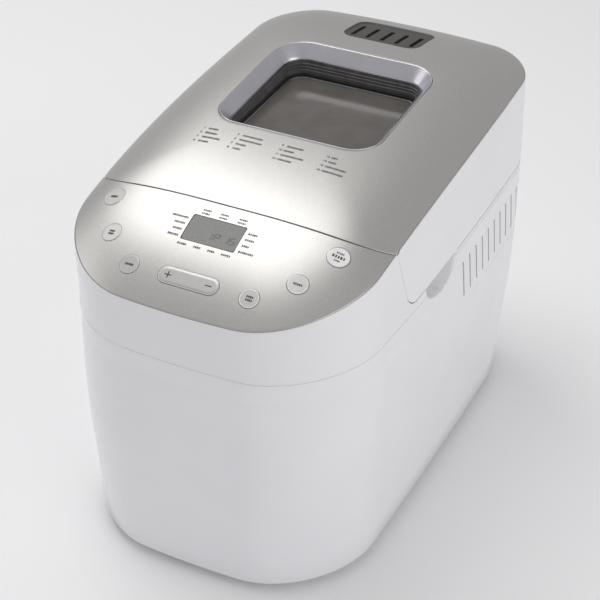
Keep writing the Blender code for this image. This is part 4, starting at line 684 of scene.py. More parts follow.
def console_collar():
    """White band under the panel that runs back as the deck beneath the lid."""

    def level_off(share):
        return crease_line(0.0, lambda crease: (BAND_Z - crease) * share + 0.0005)

    rings = [crease_line(WALL + 0.0015, 0.0), crease_line(0.0006, 0.0), crease_line(0.00015, 0.00015)]
    rings += [level_off(share) for share in (0.0, 0.12, 0.24, 0.36, 0.48, 0.6, 0.72, 0.85, 1.0)]
    rings += [outline(z) for z in (0.2202, 0.2212, 0.2222, 0.228, RIM_Z)]
    edge = [(0.0, 0.014), (0.0, 0.004)] + LIP_EDGE
    rings += [outline(RIM_Z, inset, under_crown(drop)) for inset, drop in edge]
    bm = bmesh.new()
    made = loft(bm, rings)
    cap = [f for f in made[-1][0].link_faces if len(f.verts) == len(rings[-1])]
    bmesh.ops.poke(bm, faces=cap)["verts"][0].co.z = HEIGHT
    collar = mesh_object("console_collar", bm)
    bm = bmesh.new()
    seam_block(bm, -SEAM_HALF, DECK_TOP)
    carve(collar, bm)
    bm = bmesh.new()
    loft(bm, [outline(z, WALL) for z in (0.200, BAND_Z, 0.2222, 0.228, RIM_Z, HEIGHT + 0.04)])
    cavity = mesh_object("cavity", bm)
    bm = bmesh.new()
    seam_block(bm, -SEAM_HALF - WALL, DECK_LOW)
    carve(cavity, bm)
    inside = bmesh.new()
    inside.from_mesh(cavity.data)
    bpy.data.objects.remove(cavity, do_unlink=True)
    carve(collar, inside)
    bm = bmesh.new()
    half_x, half_y = CHAMBER_HALF_X - 0.002, CHAMBER_HALF_Y - 0.002
    loft(bm, [rounded(half_x, half_y, CHAMBER_RADIUS, CHAMBER_Y, z) for z in (0.21, 0.23)])
    hinge_notches(bm, SEAM_Z - BARREL - 0.006, 0.224)
    carve(collar, bm)
    return dress(collar, white_abs, "root", ["top_collar"], 28)


def lid_skirt_shell():
    """White wall of the lid, rounded at its lower edge and up to the lip that borders the silver."""

    def lip(drop):
        def height(x, y):
            top = crown_z(x, y)
            return top - (SEAT if y < seam_y(x, top, SEAM_HALF) + 0.0028 else drop)

        return height

    turns = np.linspace(0.3, math.pi / 2, 12)
    fillet = [SEAM_Z + SEAM_HALF + SEAM_FILLET * (1 - math.cos(turn)) for turn in turns]
    rings = [split(LID_LOW, 0.0005, True, SEAM_HALF + 0.0005)]
    rings += [split(LID_LOW + 0.0001, 0.0001, True, SEAM_HALF)]
    rings += [split(LID_LOW + 0.0004, 0.0, True, SEAM_HALF)]
    rings += [split(z, 0.0, True, SEAM_HALF) for z in fillet]
    rings += [split(RIM_Z, 0.0, True, SEAM_HALF, lambda x, y: 0.5 * (0.237 + crown_z(x, y) - 0.012))]
    for inset, drop in [(0.0, 0.012), (0.0, 0.0045)] + LIP_EDGE:
        height = lip(drop) if drop < SEAT else under_crown(drop)
        rings.append(split(RIM_Z, inset, True, SEAM_HALF + inset, height))
    shift = SEAM_HALF + WALL
    rings.append(split(RIM_Z, WALL, True, shift, under_crown(SEAT)))
    rings += [split(z, WALL, True, shift) for z in (0.237, 0.232, 0.2275, 0.2245, LID_LOW)]
    bm = bmesh.new()
    loft(bm, rings, closed=True)
    skirt = mesh_object("lid_skirt_shell", bm)
    bm = bmesh.new()
    hinge_notches(bm, SEAM_Z - 0.002, 0.2285)
    carve(skirt, bm)
    return dress(skirt, white_abs, "lid", ["lid_skirt"])


# ---- silver skins ----
# rolled edge of a silver skin, as inset from the edge and drop below the crown
ROLL = [(0.0, SKIN), (0.0, 0.00055), (0.00006, 0.00028), (0.0002, 0.00009), (0.0005, 0.0)]
ROLL += [(0.0011, 0.0), (0.0022, 0.0), (0.0040, 0.0)]


def window_reach(angle, grow=0.0):
    """Distance from the window's middle to the rounded edge of its opening along an angle."""
    across, along = abs(math.cos(angle)), abs(math.sin(angle))
    half_x, half_y, radius = WINDOW_HALF_X + grow, WINDOW_HALF_Y + grow, WINDOW_RADIUS + grow
    reach = min(half_x / max(across, 1e-9), half_y / max(along, 1e-9))
    corner_x, corner_y = half_x - radius, half_y - radius
    if across * reach > corner_x and along * reach > corner_y:
        share = corner_x * across + corner_y * along
        reach = share + math.sqrt(share**2 - corner_x**2 - corner_y**2 + radius**2)
    return reach


def lid_skin():
    """Silver cover of the lid: an unbroken ring of surface from the outline in to the window."""
    rings = [split(RIM_Z, LIP + e, True, SEAM_HALF + e, under_crown(d)) for e, d in ROLL]
    far = rings[-1]
    rays = []
    for p in far:
        angle = math.atan2(p.y - WINDOW_Y, p.x)
        rays.append((angle, window_reach(angle), math.hypot(p.x, p.y - WINDOW_Y)))

    def between(share, drop, grow=0.0):
        loop = []
        for angle, near, reach in rays:
            radius = near + grow + (reach - near - grow) * share
            x, y = radius * math.cos(angle), WINDOW_Y + radius * math.sin(angle)
            loop.append(Vector((x, y, crown_z(x, y) - drop)))
        return loop

    shares = (0.93, 0.85, 0.76, 0.66, 0.56, 0.46, 0.37, 0.28, 0.2, 0.13, 0.07, 0.03)
    rings += [between(share, 0.0) for share in shares]
    rings += [between(0.0, drop, grow) for grow, drop in ((0.0006, 0.0), (0.00025, 0.0001), (0.0, 0.0005))]
    rings += [between(0.0, SKIN), between(0.3, SKIN), between(0.6, SKIN), between(0.9, SKIN)]
    bm = bmesh.new()
    loft(bm, rings, closed=True)
    skin = mesh_object("lid_silver_skin", bm)
    bm = bmesh.new()
    half_x, half_y = GRILLE_HALF_X + GAP, GRILLE_HALF_Y + GAP
    loft(bm, [rounded(half_x, half_y, GRILLE_RADIUS, GRILLE_Y, z, 16) for z in (0.25, HEIGHT + 0.02)])
    carve(skin, bm)
    return dress(skin, silver_paint, "lid", ["lid_cover"], 40)


def stadium(half_x, half_y, z, place, steps=14):
    """Loop with round ends along the X axis of a placing matrix."""
    return [place @ p for p in rounded(half_x, half_y, half_y - 0.00001, 0.0, z, steps)]


def lens_rows(bm, loop, steps, drop):
    """Fill a two-cornered loop with rows that follow the crown, from its front edge to the parting."""
    front = loop[: steps + 1]
    back = [loop[0]] + loop[:steps:-1] + [loop[steps]]
    rows = []
    for share in (0.0, 0.03, 0.07, 0.12, 0.18, 0.25, 0.33, 0.42, 0.52, 0.63, 0.75, 0.88, 1.0):
        points = [f.lerp(b, share) for f, b in zip(front, back)]
        verts = [bm.verts.new((p.x, p.y, crown_z(p.x, p.y) - drop)) for p in points]
        rows.append([bm.edges.new(pair) for pair in zip(verts, verts[1:])])
    for low, high in zip(rows, rows[1:]):
        bmesh.ops.bridge_loops(bm, edges=low + high)


def panel_skin():
    """Silver keypad panel before the parting, pierced for keys, rocker and display."""
    steps = 120
    rings = [split(RIM_Z, LIP + e, False, -SEAM_HALF - e, under_crown(d), steps, steps) for e, d in ROLL]
    bm = bmesh.new()
    made = loft(bm, rings)
    caps = [face for ring in (made[0], made[-1]) for face in ring[0].link_faces if len(face.verts) > 4]
    bmesh.ops.delete(bm, geom=caps, context="FACES_ONLY")
    lens_rows(bm, rings[-1], steps, 0.0)
    lens_rows(bm, rings[0], steps, SKIN)
    panel = mesh_object("panel_silver_skin", bm)
    bm = bmesh.new()
    for x, y, radius in KEYS.values():
        drill(bm, [crown_place(x, y)], radius, 64)
    place = crown_place(0.0, ROCKER_Y)
    loft(bm, [stadium(ROCKER_HALF_X, ROCKER_HALF_Y, z, place) for z in (-0.01, 0.01)])
    place = crown_place(0.0, DISPLAY_Y)
    loops = [rounded(DISPLAY_HALF_X + GAP, DISPLAY_HALF_Y + GAP, 0.0018, 0.0, z, 8) for z in (-0.01, 0.01)]
    loft(bm, [[place @ p for p in loop] for loop in loops])
    carve(panel, bm)
    return dress(panel, silver_paint, "root", ["control_panel"], 40)


# ---- window ----
def window_loop(inset, z):
    """Loop a given distance inside the lid's window opening."""
    radius = max(WINDOW_RADIUS - inset, 0.004)
    return rounded(WINDOW_HALF_X - inset, WINDOW_HALF_Y - inset, radius, WINDOW_Y, z, 20)


def window_set():
    """Rolled bezel, stepped inner frame, gasket, trim line and pane, from the outside in."""
    inner = BEZEL_WIDTH + 0.0004
    profile = [(GAP, -SKIN), (GAP, 0.0), (GAP + 0.0001, 0.00025), (0.0007, 0.0004), (0.0012, 0.00025)]
    profile += [(0.0017, -0.0004), (0.0030, -0.0019), (0.0050, -0.0043), (0.0070, -0.0069), (0.0086, -0.0090)]
    profile += [(0.0095, -0.0102), (0.0100, -0.0111), (inner, -0.0120), (inner, -0.0130)]
    profile += [(BEZEL_WIDTH - 0.0015, -0.0130), (BEZEL_WIDTH - 0.0015, -0.0112), (0.0008, -SKIN)]
    rings = [window_loop(inset, under_crown(-rise)) for inset, rise in profile]
    lofted("window_bezel_rolled", rings, satin_metal, "lid", ["window_bezel"], True, 50)

    foot, top = GLASS_TOP + 0.0034, under_crown(0.0133)

    def partway(share):
        return lambda x, y: top(x, y) * (1 - share) + foot * share

    rings = [window_loop(BEZEL_WIDTH + 0.0002, top), window_loop(0.0108, top)]
    for share in (0.2, 0.45, 0.7):
        for out, down in ((0.0, 0.0), (0.0004, 0.024)):
            rings.append(window_loop(0.0108 + 0.001 * share + out, partway(share + down)))
    rings += [window_loop(0.0120, foot), window_loop(BEZEL_WIDTH + 0.0002, foot)]
    # the inner frame's dark grey is painted shade for the wall in shadow
    lofted("window_inner_frame", rings, window_wall_shade_grey, "lid", closed=True)

    low, high = GLASS_TOP + 0.0002, GLASS_TOP + 0.0032
    outer, reach = BEZEL_WIDTH - 0.0020, BEZEL_WIDTH + 0.0030
    section = [(outer, low), (outer, high), (reach - 0.0006, high), (reach - 0.0001, high - 0.0004)]
    section += [(reach, high - 0.0010), (reach, low)]
    rings = [window_loop(inset, z) for inset, z in section]
    lofted("window_gasket_lip", rings, black_silicone, "lid", ["window_gasket"], True)

    near, wide = reach + 0.0002, reach + 0.0022
    section = [(near, low), (near, low + 0.0005), (near + 0.0004, low + 0.0009)]
    section += [(wide - 0.0004, low + 0.0009), (wide, low + 0.0005), (wide, low)]
    rings = [window_loop(inset, z) for inset, z in section]
    lofted("pane_trim_line", rings, trim_strip, "lid", closed=True)

    edge, face = BEZEL_WIDTH - 0.0020, BEZEL_WIDTH - 0.0016
    section = [(face, GLASS_TOP - GLASS), (edge, GLASS_TOP - 0.0028)]
    section += [(edge, GLASS_TOP - 0.0004), (face, GLASS_TOP)]
    rings = [window_loop(inset, z) for inset, z in section]
    lofted("smoked_window_pane", rings, smoked_glass, "lid", ["outer_glass"])


def steam_grille():
    """Sunk grille with a raised rim and five slots, over its duct, whose near black is painted shade under
    the slots.
    """

    def loop(inset, drop):
        half_x, half_y = GRILLE_HALF_X - inset, GRILLE_HALF_Y - inset
        return rounded(half_x, half_y, GRILLE_RADIUS - inset, GRILLE_Y, under_crown(drop), 14)

    bm = bmesh.new()
    profile = [(0.0, GRILLE_THICK + 0.0008), (0.0, 0.0006), (0.0003, 0.0001), (0.0008, 0.0), (0.0013, 0.0003)]
    profile += [(0.0019, 0.0010), (0.0040, 0.0010), (0.0070, 0.0010), (0.0100, 0.0010), (0.0115, 0.0010)]
    loft(bm, [loop(inset, drop) for inset, drop in profile])
    grille = mesh_object("steam_grille", bm)
    bm = bmesh.new()
    for i in range(5):
        x, radius = GRILLE_SLOT_PITCH * (i - 2), GRILLE_SLOT_HALF_X - 0.00002
        loft(bm, [
            rounded(GRILLE_SLOT_HALF_X, GRILLE_SLOT_HALF_Y, radius, GRILLE_SLOT_Y, z, 6, x)
            for z in (HEIGHT - 0.03, HEIGHT + 0.01)
        ])
    carve(grille, bm)
    dress(grille, grille_nylon, "lid", ["vent_grille"])
    rings = [rounded(0.034, 0.0165, 0.006, GRILLE_SLOT_Y, under_crown(drop), 6) for drop in (0.0042, 0.0140)]
    # the duct's near black is painted shade, the dark depth seen through the slots
    lofted("steam_duct", rings, nylon_dark_with_duct_shade, "lid")


# ---- keypad ----
def printed(bm, x, y, width, height, place=None, lift=INK):
    """A slab of ink on the crown, or on a placing matrix; its foot is sunk so that it never floats."""
    if place is None:
        place = crown_place(x, y)
        x = y = 0.0
    half_x, half_y = width / 2, height / 2
    box(bm, (-half_x, -half_y, -INK), (half_x, half_y, lift), place @ at(x, y))


def word(bm, x, y, letters, size, place=None, align="left", lift=INK):
    """A row of short strokes that reads as a small unlettered legend."""
    pitch = size * 0.86
    width = pitch * letters
    start = {"left": x, "right": x - width, "middle": x - width / 2}[align]
    for i in range(letters):
        tall = size * (1.0, 0.92, 1.0, 0.88)[(i * 7 + letters) % 4]
        wide = pitch * (0.62, 0.5, 0.7)[(i * 5 + letters) % 3]
        printed(bm, start + pitch * (i + 0.5), y, wide, tall, place, lift)


def digits(text, x, y, size):
    """Mesh of a small number laid on the crown."""
    curve = bpy.data.curves.new("number", "FONT")
    curve.body = text
    curve.size = size
    curve.extrude = INK
    curve.resolution_u = 3
    source = bpy.data.objects.new("number", curve)
    bpy.context.scene.collection.objects.link(source)
    mesh = baked(source)
    bpy.data.objects.remove(source, do_unlink=True)
    mesh.transform(crown_place(x, y))
    return mesh


def key_cap(name, finish_ring, filled):
    """Round key with a printed ring, or with its whole face printed."""
    x, y, radius = KEYS[name]
    place = crown_place(x, y)
    cap = radius - KEY_GAP
    bm = bmesh.new()
    profile = [(0.0, -0.008), (0.0025, -0.008), (0.0025, -KEY_THICK), (cap, -KEY_THICK), (cap, -0.0002)]
    profile += [(cap - 0.0001, 0.00005), (cap - 0.0004, 0.00018), (cap - 0.0012, 0.0002), (0.0, 0.00012)]
    lathe(bm, profile, place, 64)
    dress(mesh_object(name + "_cap", bm), key_paint, name, [name])
    bm = bmesh.new()
    if filled:
        section = [(0.0, 0.0002), (cap - 0.0006, 0.0002), (cap - 0.0007, 0.00029), (0.0, 0.00027)]
    else:
        near, far = cap - 0.0012, cap - 0.0004
        section = [(near, 0.00016), (far, 0.00016), (far, 0.00026), (near, 0.00026)]
    lathe(bm, section, place, 64, closed=not filled)
    dress(mesh_object(name + "_ring", bm), finish_ring, name)
    return place


def keypad():
    """Six round keys and the rocker, with their rings and legends as (row height, strokes, size)."""
    rows = {
        "menu_key": (pale_ink, False, [(0.0, 4, 0.0021)]),
        "loaf_size_key": (pale_ink, False, [(0.0013, 4, 0.0016), (-0.0013, 4, 0.0016)]),
        "dough_key": (pale_ink, False, [(0.0, 5, 0.0018)]),
        "home_made_key": (white_ink, False, [(0.0014, 4, 0.0018), (-0.0014, 4, 0.0018)]),
        "color_key": (white_ink, False, [(0.0, 5, 0.0018)]),
        "start_stop_key": (white_ink, True, [(0.0036, 5, 0.0015), (0.0, 5, 0.0026), (-0.0036, 4, 0.0015)]),
    }
    for name, (ring, filled, legend) in rows.items():
        place = key_cap(name, ring, filled)
        bm = bmesh.new()
        for row, letters, size in legend:
            word(bm, 0.0, row, letters, size, place @ at(0, 0, 0.00026), "middle")
        dress(mesh_object(name + "_legend", bm), dark_ink, name)
    place = crown_place(0.0, ROCKER_Y)
    half_x, half_y = ROCKER_HALF_X - KEY_GAP, ROCKER_HALF_Y - KEY_GAP
    rim = [(0.0, -KEY_THICK), (0.0, -0.0002), (0.0001, 0.00005), (0.0004, 0.0002), (0.0030, 0.0002)]
    rings = [stadium(half_x - inset, half_y - inset, z, place) for inset, z in rim]
    lofted("rocker_cap", rings, key_paint, "rocker", ["plus_minus_rocker"])
    rim = [(0.0004, 0.00018), (0.0004, 0.00026), (0.0010, 0.00026), (0.0010, 0.00018)]
    rings = [stadium(half_x - inset, half_y - inset, z, place) for inset, z in rim]
    lofted("rocker_outline", rings, pale_ink, "rocker", closed=True)
    bm = bmesh.new()
    top = place @ at(0, 0, 0.0002)
    bar, post = (SIGN_LENGTH, SIGN_STROKE), (SIGN_STROKE, SIGN_LENGTH)
    for x, (width, height) in ((PLUS_X, bar), (PLUS_X, post), (MINUS_X, bar)):
        printed(bm, x, 0, width, height, top, 0.00008)
    dress(mesh_object("rocker_signs", bm), dark_ink, "rocker")


def display():
    """Tinted window with two-digit time and programme segments, as if switched on."""
    place = crown_place(0.0, DISPLAY_Y)
    rim = [(0.0, -0.0024), (0.0, -0.0007), (0.0003, -0.0004), (0.0020, -0.0004)]
    rings = []
    for inset, z in rim:
        loop = rounded(DISPLAY_HALF_X - inset, DISPLAY_HALF_Y - inset, 0.0025 - inset, 0.0, z, 8)
        rings.append([place @ p for p in loop])
    lofted("display_window", rings, display_glass, "root", ["display_lens"])
    bm = bmesh.new()
    w, h, t = DIGIT_HALF_X, DIGIT_HALF_Y, DIGIT_STROKE
    for x, lit in ((-0.002, "bc"), (0.0045, "abgef"), (0.0125, "bc"), (0.0180, "afgcd")):
        bars = {"a": (0, h, w, t), "g": (0, 0, w, t), "d": (0, -h, w, t), "f": (-w, h / 2, t, h / 2)}
        bars.update({"b": (w, h / 2, t, h / 2), "e": (-w, -h / 2, t, h / 2), "c": (w, -h / 2, t, h / 2)})
        for name in lit:
            dx, dy, half_x, half_y = bars[name]
            wide = half_x * 1.7 if name in "agd" else half_x * 1.4
            tall = half_y * 1.7 if name not in "agd" else half_y * 1.4
            printed(bm, x + dx, DIGIT_Y + dy, wide, tall, place @ at(0, 0, -0.0004), 0.00004)
    dress(mesh_object("display_segments", bm), segment_ink, "root")


def panel_print():
    """Unlettered legends on the four sides of the display."""
    bm = bmesh.new()
    for i, letters in enumerate((9, 6, 5, 6)):
        word(bm, -0.0262, -0.1455 - 0.0056 * i, letters, 0.0019, None, "right")
    for i, letters in enumerate((5, 5, 4, 8)):
        word(bm, 0.0268, -0.1455 - 0.0056 * i, letters, 0.0019)
    for x in (-0.0150, 0.0005, 0.0170):
        for y, letters in ((-0.1347, 5), (-0.1380, 5)):
            word(bm, x, y, letters, 0.0017, None, "middle")
    for x, letters in ((-0.0200, 5), (-0.0065, 4), (0.0060, 4), (0.0190, 5)):
        word(bm, x, -0.1682, letters, 0.0019, None, "middle")
    dress(mesh_object("panel_print", bm), dark_ink, "root")


def lid_print():
    """Programme list: numbers, each with an unlettered stroke legend."""
    bm = bmesh.new()
    columns = (
        (-0.0700, (5, 6, 9, 5)), (-0.0380, (10, 11, 5, 4)), (0.0030, (8, 5, 11, 7)), (0.0430, (3, 4, 10, 10))
    )
    for column, (x, strokes) in enumerate(columns):
        for row, letters in enumerate(strokes):
            y = -0.0440 - 0.0060 * row
            bm.from_mesh(digits(str(4 * column + row + 1), x, y - 0.0010, 0.0034))
            word(bm, x + 0.0048, y, letters, 0.0022)
    dress(mesh_object("lid_print", bm), dark_ink, "lid")


# ---- chamber, pan and paddles ----
def deep_form(half_x, half_y, radius, z, steps=10):
    """Rounded loop about the middle of the chamber."""
    return rounded(half_x, half_y, radius, CHAMBER_Y, z, steps)


def chamber():
    """Pressed chamber walls with a rolled rim, and the floor pierced for both shafts."""
    top = DECK_LOW - GAP
    low = CHAMBER_FLOOR
    profile = [(0.006, top - SHEET), (0.006, top), (0.001, top), (-0.0002, top - 0.0004)]
    profile += [(-SHEET, top - 0.0012), (-SHEET, low + 0.006), (-0.0022, low + 0.0022), (-0.006, low)]
    profile += [(-0.006, low - SHEET), (-0.002, low + 0.001), (0.0, low + 0.006), (0.0, top - SHEET)]
    bm = bmesh.new()
    rings = [
        deep_form(CHAMBER_HALF_X + grow, CHAMBER_HALF_Y + grow, CHAMBER_RADIUS + grow, z)
        for grow, z in profile
    ]
    loft(bm, rings, closed=True)
    pressed = mesh_object("chamber_walls", bm)
    dress(pressed, aluminised, "root", ["oven_chamber"])
    bm = bmesh.new()
    half_x, half_y, radius = (size - 0.0055 for size in (CHAMBER_HALF_X, CHAMBER_HALF_Y, CHAMBER_RADIUS))
    levels = (low - SHEET, low - 0.0001)
    loft(bm, [deep_form(half_x, half_y, radius, z) for z in levels])
    floor = mesh_object("chamber_floor", bm)
    bm = bmesh.new()
    drill(bm, [at(0, y, low) for y, _ in PADDLES.values()], 0.006, 32)
    carve(floor, bm)
    dress(floor, aluminised, "root")


def bread_pan():
    """Tapered pan with a rolled rim, two ears for the bail, and holes for both shafts."""

    def loop(grow, z):
        taper = PAN_TAPER * (1 - (z - PAN_FLOOR) / (PAN_TOP - PAN_FLOOR))
        half_x, half_y = PAN_HALF_X - taper + grow, PAN_HALF_Y - taper + grow
        return deep_form(half_x, half_y, PAN_RADIUS - taper + grow, z, 14)

    profile = [(-0.006, PAN_FLOOR), (-0.002, PAN_FLOOR + 0.0012), (0.0, PAN_FLOOR + 0.006), (0.0, 0.130)]
    profile += [(0.0, PAN_TOP - 0.0022), (0.0006, PAN_TOP - PAN_WALL), (PAN_RIM - 0.0006, PAN_TOP - PAN_WALL)]
    profile += [(PAN_RIM, PAN_TOP - 0.0009), (PAN_RIM, PAN_TOP - 0.0004), (PAN_RIM - 0.0006, PAN_TOP)]
    profile += [(-0.0002, PAN_TOP), (-0.0012, PAN_TOP - 0.0005), (-PAN_WALL, PAN_TOP - 0.0018)]
    profile += [(-PAN_WALL, 0.130), (-PAN_WALL, PAN_FLOOR + 0.008), (-0.0033, PAN_FLOOR + 0.0033)]
    profile += [(-0.0075, PAN_FLOOR + PAN_WALL)]
    bm = bmesh.new()
    loft(bm, [loop(grow, z) for grow, z in profile])
    pan = mesh_object("nonstick_pan", bm)
    bm = bmesh.new()
    for side in (-1, 1):
        x = side * EAR_X
        low = (x - EAR_THICK / 2, CHAMBER_Y - 0.008, PAN_TOP - 0.0006)
        box(bm, low, (x + EAR_THICK / 2, CHAMBER_Y + 0.008, HANDLE_Z + 0.005), Matrix(), 0.0006)
    carve(pan, bm, "UNION")
    bm = bmesh.new()
    drill(bm, [at(0, y, PAN_FLOOR) for y, _ in PADDLES.values()], 0.007, 40)
    carve(pan, bm)
    dress(pan, nonstick, "pan", ["bread_pan"])


def bent_wire(name, path, z, radius, finish, body, replaces):
    """Round rod along a level path, with smooth bends."""
    curve = bpy.data.curves.new(name, "CURVE")
    curve.dimensions = "3D"
    curve.bevel_depth = radius
    curve.bevel_resolution = 6
    curve.use_fill_caps = True
    curve.resolution_u = 1
    spline = curve.splines.new("POLY")
    spline.points.add(len(path) - 1)
    for point, (x, y) in zip(spline.points, path):
        point.co = (x, y, z, 1.0)
    source = bpy.data.objects.new(name + "_path", curve)
    bpy.context.scene.collection.objects.link(source)
    mesh = baked(source)
    bpy.data.objects.remove(source, do_unlink=True)
    bm = bmesh.new()
    bm.from_mesh(mesh)
    return dress(mesh_object(name, bm), finish, body, replaces, 50)


def bend(points, radius, steps=8):
    """Round each inner corner of a path of (x, y) points."""
    path = [points[0]]
    for before, corner, after in zip(points, points[1:], points[2:]):
        a, c, b = Vector(before), Vector(corner), Vector(after)
        into, out = (a - c).normalized(), (b - c).normalized()
        reach = min(radius, (a - c).length * 0.49, (b - c).length * 0.49)
        start, end = c + into * reach, c + out * reach
        for t in np.linspace(0, 1, steps + 1):
            p = start * (1 - t) ** 2 + c * 2 * t * (1 - t) + end * t**2
            path.append((p.x, p.y))
    return path + [points[-1]]


def handle_and_element():
    """The pan's wire bail and the heater loop, which stands on its legs at the front."""
    bar = CHAMBER_Y + HANDLE_ARM
    inner = EAR_X - EAR_THICK / 2 - 0.001
    side = [(inner, CHAMBER_Y), (HANDLE_HALF_X, CHAMBER_Y), (HANDLE_HALF_X, bar)]
    path = bend(side + [(-x, y) for x, y in reversed(side)], 0.009)
    bent_wire("pan_bail", path, HANDLE_Z, HANDLE_WIRE, drawn_steel, "handle", ["pan_handle"])
    near, far = CHAMBER_Y - ELEMENT_HALF_Y, CHAMBER_Y + ELEMENT_HALF_Y
    leg = [(ELEMENT_LEG_X, CHAMBER_Y - CHAMBER_HALF_Y - 0.022), (ELEMENT_LEG_X, near)]
    leg += [(ELEMENT_HALF_X, near), (ELEMENT_HALF_X, far)]
    path = bend(leg + [(-x, y) for x, y in reversed(leg)], ELEMENT_BEND, 10)
    node_name = "heating_element"
    bent_wire("heater_loop", path, ELEMENT_Z, ELEMENT_WIRE, heat_blued, "root", [node_name])


def paddle(end):
    """Kneading paddle: bored hub with a thin curved fin that falls away to its tip."""
    y, way = PADDLES[end]
    low, top = PAN_FLOOR + 0.0068, PAN_SHAFT_TOP + 0.0004
    bm = bmesh.new()
    bore = SHAFT + 0.0003
    profile = [(bore, low), (PADDLE_HUB - 0.0006, low), (PADDLE_HUB, low + 0.0006)]
    profile += [(PADDLE_HUB - 0.0012, top - 0.0010), (PADDLE_HUB - 0.0022, top), (bore, top)]
    lathe(bm, profile, at(0, y), 40, closed=True)
    piece = mesh_object("paddle_coated_" + end, bm)
    bm = bmesh.new()
    loops = []
    for share in np.linspace(0, 1, 14):
        reach = PADDLE_HUB - 0.003 + (PADDLE_REACH - PADDLE_HUB + 0.003) * share
        sweep = FIN_SWEEP * share**2
        half = FIN_ROOT - FIN_TAPER * share
        foot = PAN_FLOOR + PAN_WALL + 0.0020 + (0.0033 * (1 - ramp(share, 0.1, 0.3)))
        crest = top - 0.001 - FIN_FALL * share**2
        turn = at(sweep, y + way * reach) @ Matrix.Rotation(math.pi / 2, 4, "X")
        if share == 1:
            half, foot, crest = half * 0.6, foot + 0.001, crest - 0.001
        loop = rounded(half, (crest - foot) / 2, half * 0.8, 0.0, 0.0, 4)
        loops.append([turn @ Vector((p.x, p.y + (crest + foot) / 2, 0.0)) for p in loop])
    loft(bm, loops)
    carve(piece, bm, "UNION")
    name = "kneading_paddle_" + end
    dress(piece, nonstick, "paddle_" + end, [name])


def lid_inside():
    """Pressed liner with its dome, inner pane and seal."""
    margin = WALL + 0.0012
    low = DOME_FOOT_Z
    foot_x, foot_y = CHAMBER_HALF_X + 0.002, CHAMBER_HALF_Y + 0.002

    def dome(inset, z, lean):
        return deep_form(foot_x - inset - lean, foot_y - inset - lean, CHAMBER_RADIUS - inset, z, 14)

    bm = bmesh.new()
    loft(bm, [split(z, margin, True, SEAM_HALF + margin + 0.001) for z in (low, low + SHEET)])
    liner = mesh_object("lid_pressed_liner", bm)
    bm = bmesh.new()
    profile = [(0.0, low, 0.0), (0.0, DOME_TOP_Z - 0.005, DOME_LEAN * 0.85)]
    profile += [(0.0015, DOME_TOP_Z - 0.0015, DOME_LEAN), (0.005, DOME_TOP_Z, DOME_LEAN)]
    loft(bm, [dome(*row) for row in profile])
    carve(liner, bm, "UNION")
    bm = bmesh.new()
    rate = DOME_LEAN / (DOME_TOP_Z - low)
    profile = [(SHEET, low - 0.003, -0.003 * rate), (SHEET, DOME_TOP_Z - 0.0055, DOME_LEAN * 0.85)]
    profile += [(SHEET + 0.0015, DOME_TOP_Z - 0.0025, DOME_LEAN)]
    profile += [(SHEET + 0.005, DOME_TOP_Z - SHEET, DOME_LEAN)]
    loft(bm, [dome(*row) for row in profile])
    carve(liner, bm)
    bm = bmesh.new()
    loft(bm, [rounded(*LINER_HOLE, WINDOW_Y, z, 12) for z in (DOME_TOP_Z - 0.01, DOME_TOP_Z + 0.01)])
    hinge_notches(bm, SEAM_Z, SEAM_Z + 0.01)
    carve(liner, bm)
    dress(liner, brushed_aluminium, "lid", ["lid_liner"])
    rings = []
    for inset, rise in ((0.0004, 0.0), (0.0, 0.0004), (0.0, GLASS - 0.0004), (0.0004, GLASS)):
        half_x, half_y, radius = (size - inset for size in INNER_PANE)
        rings.append(rounded(half_x, half_y, radius, WINDOW_Y, DOME_TOP_Z + GAP + rise, 12))
    lofted("inner_clear_pane", rings, clear_glass, "lid", ["inner_glass"])
    section = [(0.0, 0.0008), (0.0008, 0.0), (SEAL_WIDTH - 0.0008, 0.0), (SEAL_WIDTH, 0.0008)]
    section += [(SEAL_WIDTH, 0.0027), (0.0, 0.0027)]
    rings = [
        deep_form(foot_x + grow, foot_y + grow, CHAMBER_RADIUS + grow, SEAM_Z + rise, 14)
        for grow, rise in section
    ]
    lofted("lid_seal_bead", rings, black_silicone, "lid", ["lid_seal"], True)


def foot_pads():
    """Rubber feet, each under the middle of its node."""
    for name in ("foot_front_left", "foot_front_right", "foot_rear_left", "foot_rear_right"):
        low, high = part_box(name)
        middle = (Vector(low) + Vector(high)) / 2
        top = high[2]
        bm = bmesh.new()
        profile = [(0.0, 0.0006), (0.006, 0.0006), (0.0068, 0.0), (PAD_RADIUS - 0.0010, 0.0)]
        profile += [(PAD_RADIUS - 0.0002, 0.0006), (PAD_RADIUS, 0.0014), (PAD_RADIUS, top - 0.0004)]
        profile += [(PAD_RADIUS - 0.0004, top), (0.0, top)]
        lathe(bm, profile, at(middle.x, middle.y), 40)
        dress(mesh_object(name + "_pad", bm), foot_rubber, "root", [name])


def base_screws():
    """Cross-head screws under the base plate."""
    bm = bmesh.new()
    for x, y in SCREW_PLACES:
        place = at(x, y, BASE_Z + 0.0001) @ Matrix.Rotation(math.pi, 4, "X")
        lathe(bm, [(0.0, 0.0004), (0.0016, 0.0012), (0.0030, 0.0010), (0.0036, 0.0), (0.0, 0.0)], place, 24)
        for turn in (0, math.pi / 2):
            cross = place @ Matrix.Rotation(turn, 4, "Z")
            box(bm, (-0.0018, -0.0004, 0.0009), (0.0018, 0.0004, 0.0013), cross)
    dress(mesh_object("base_screws", bm), zinc_plate, "root")


body_shell()
console_collar()
lid_skirt_shell()
lid_skin()
panel_skin()
window_set()
steam_grille()
keypad()
display()
panel_print()
lid_print()
chamber()
bread_pan()
handle_and_element()
for paddle_end in PADDLES:
    paddle(paddle_end)
lid_inside()
foot_pads()
base_screws()

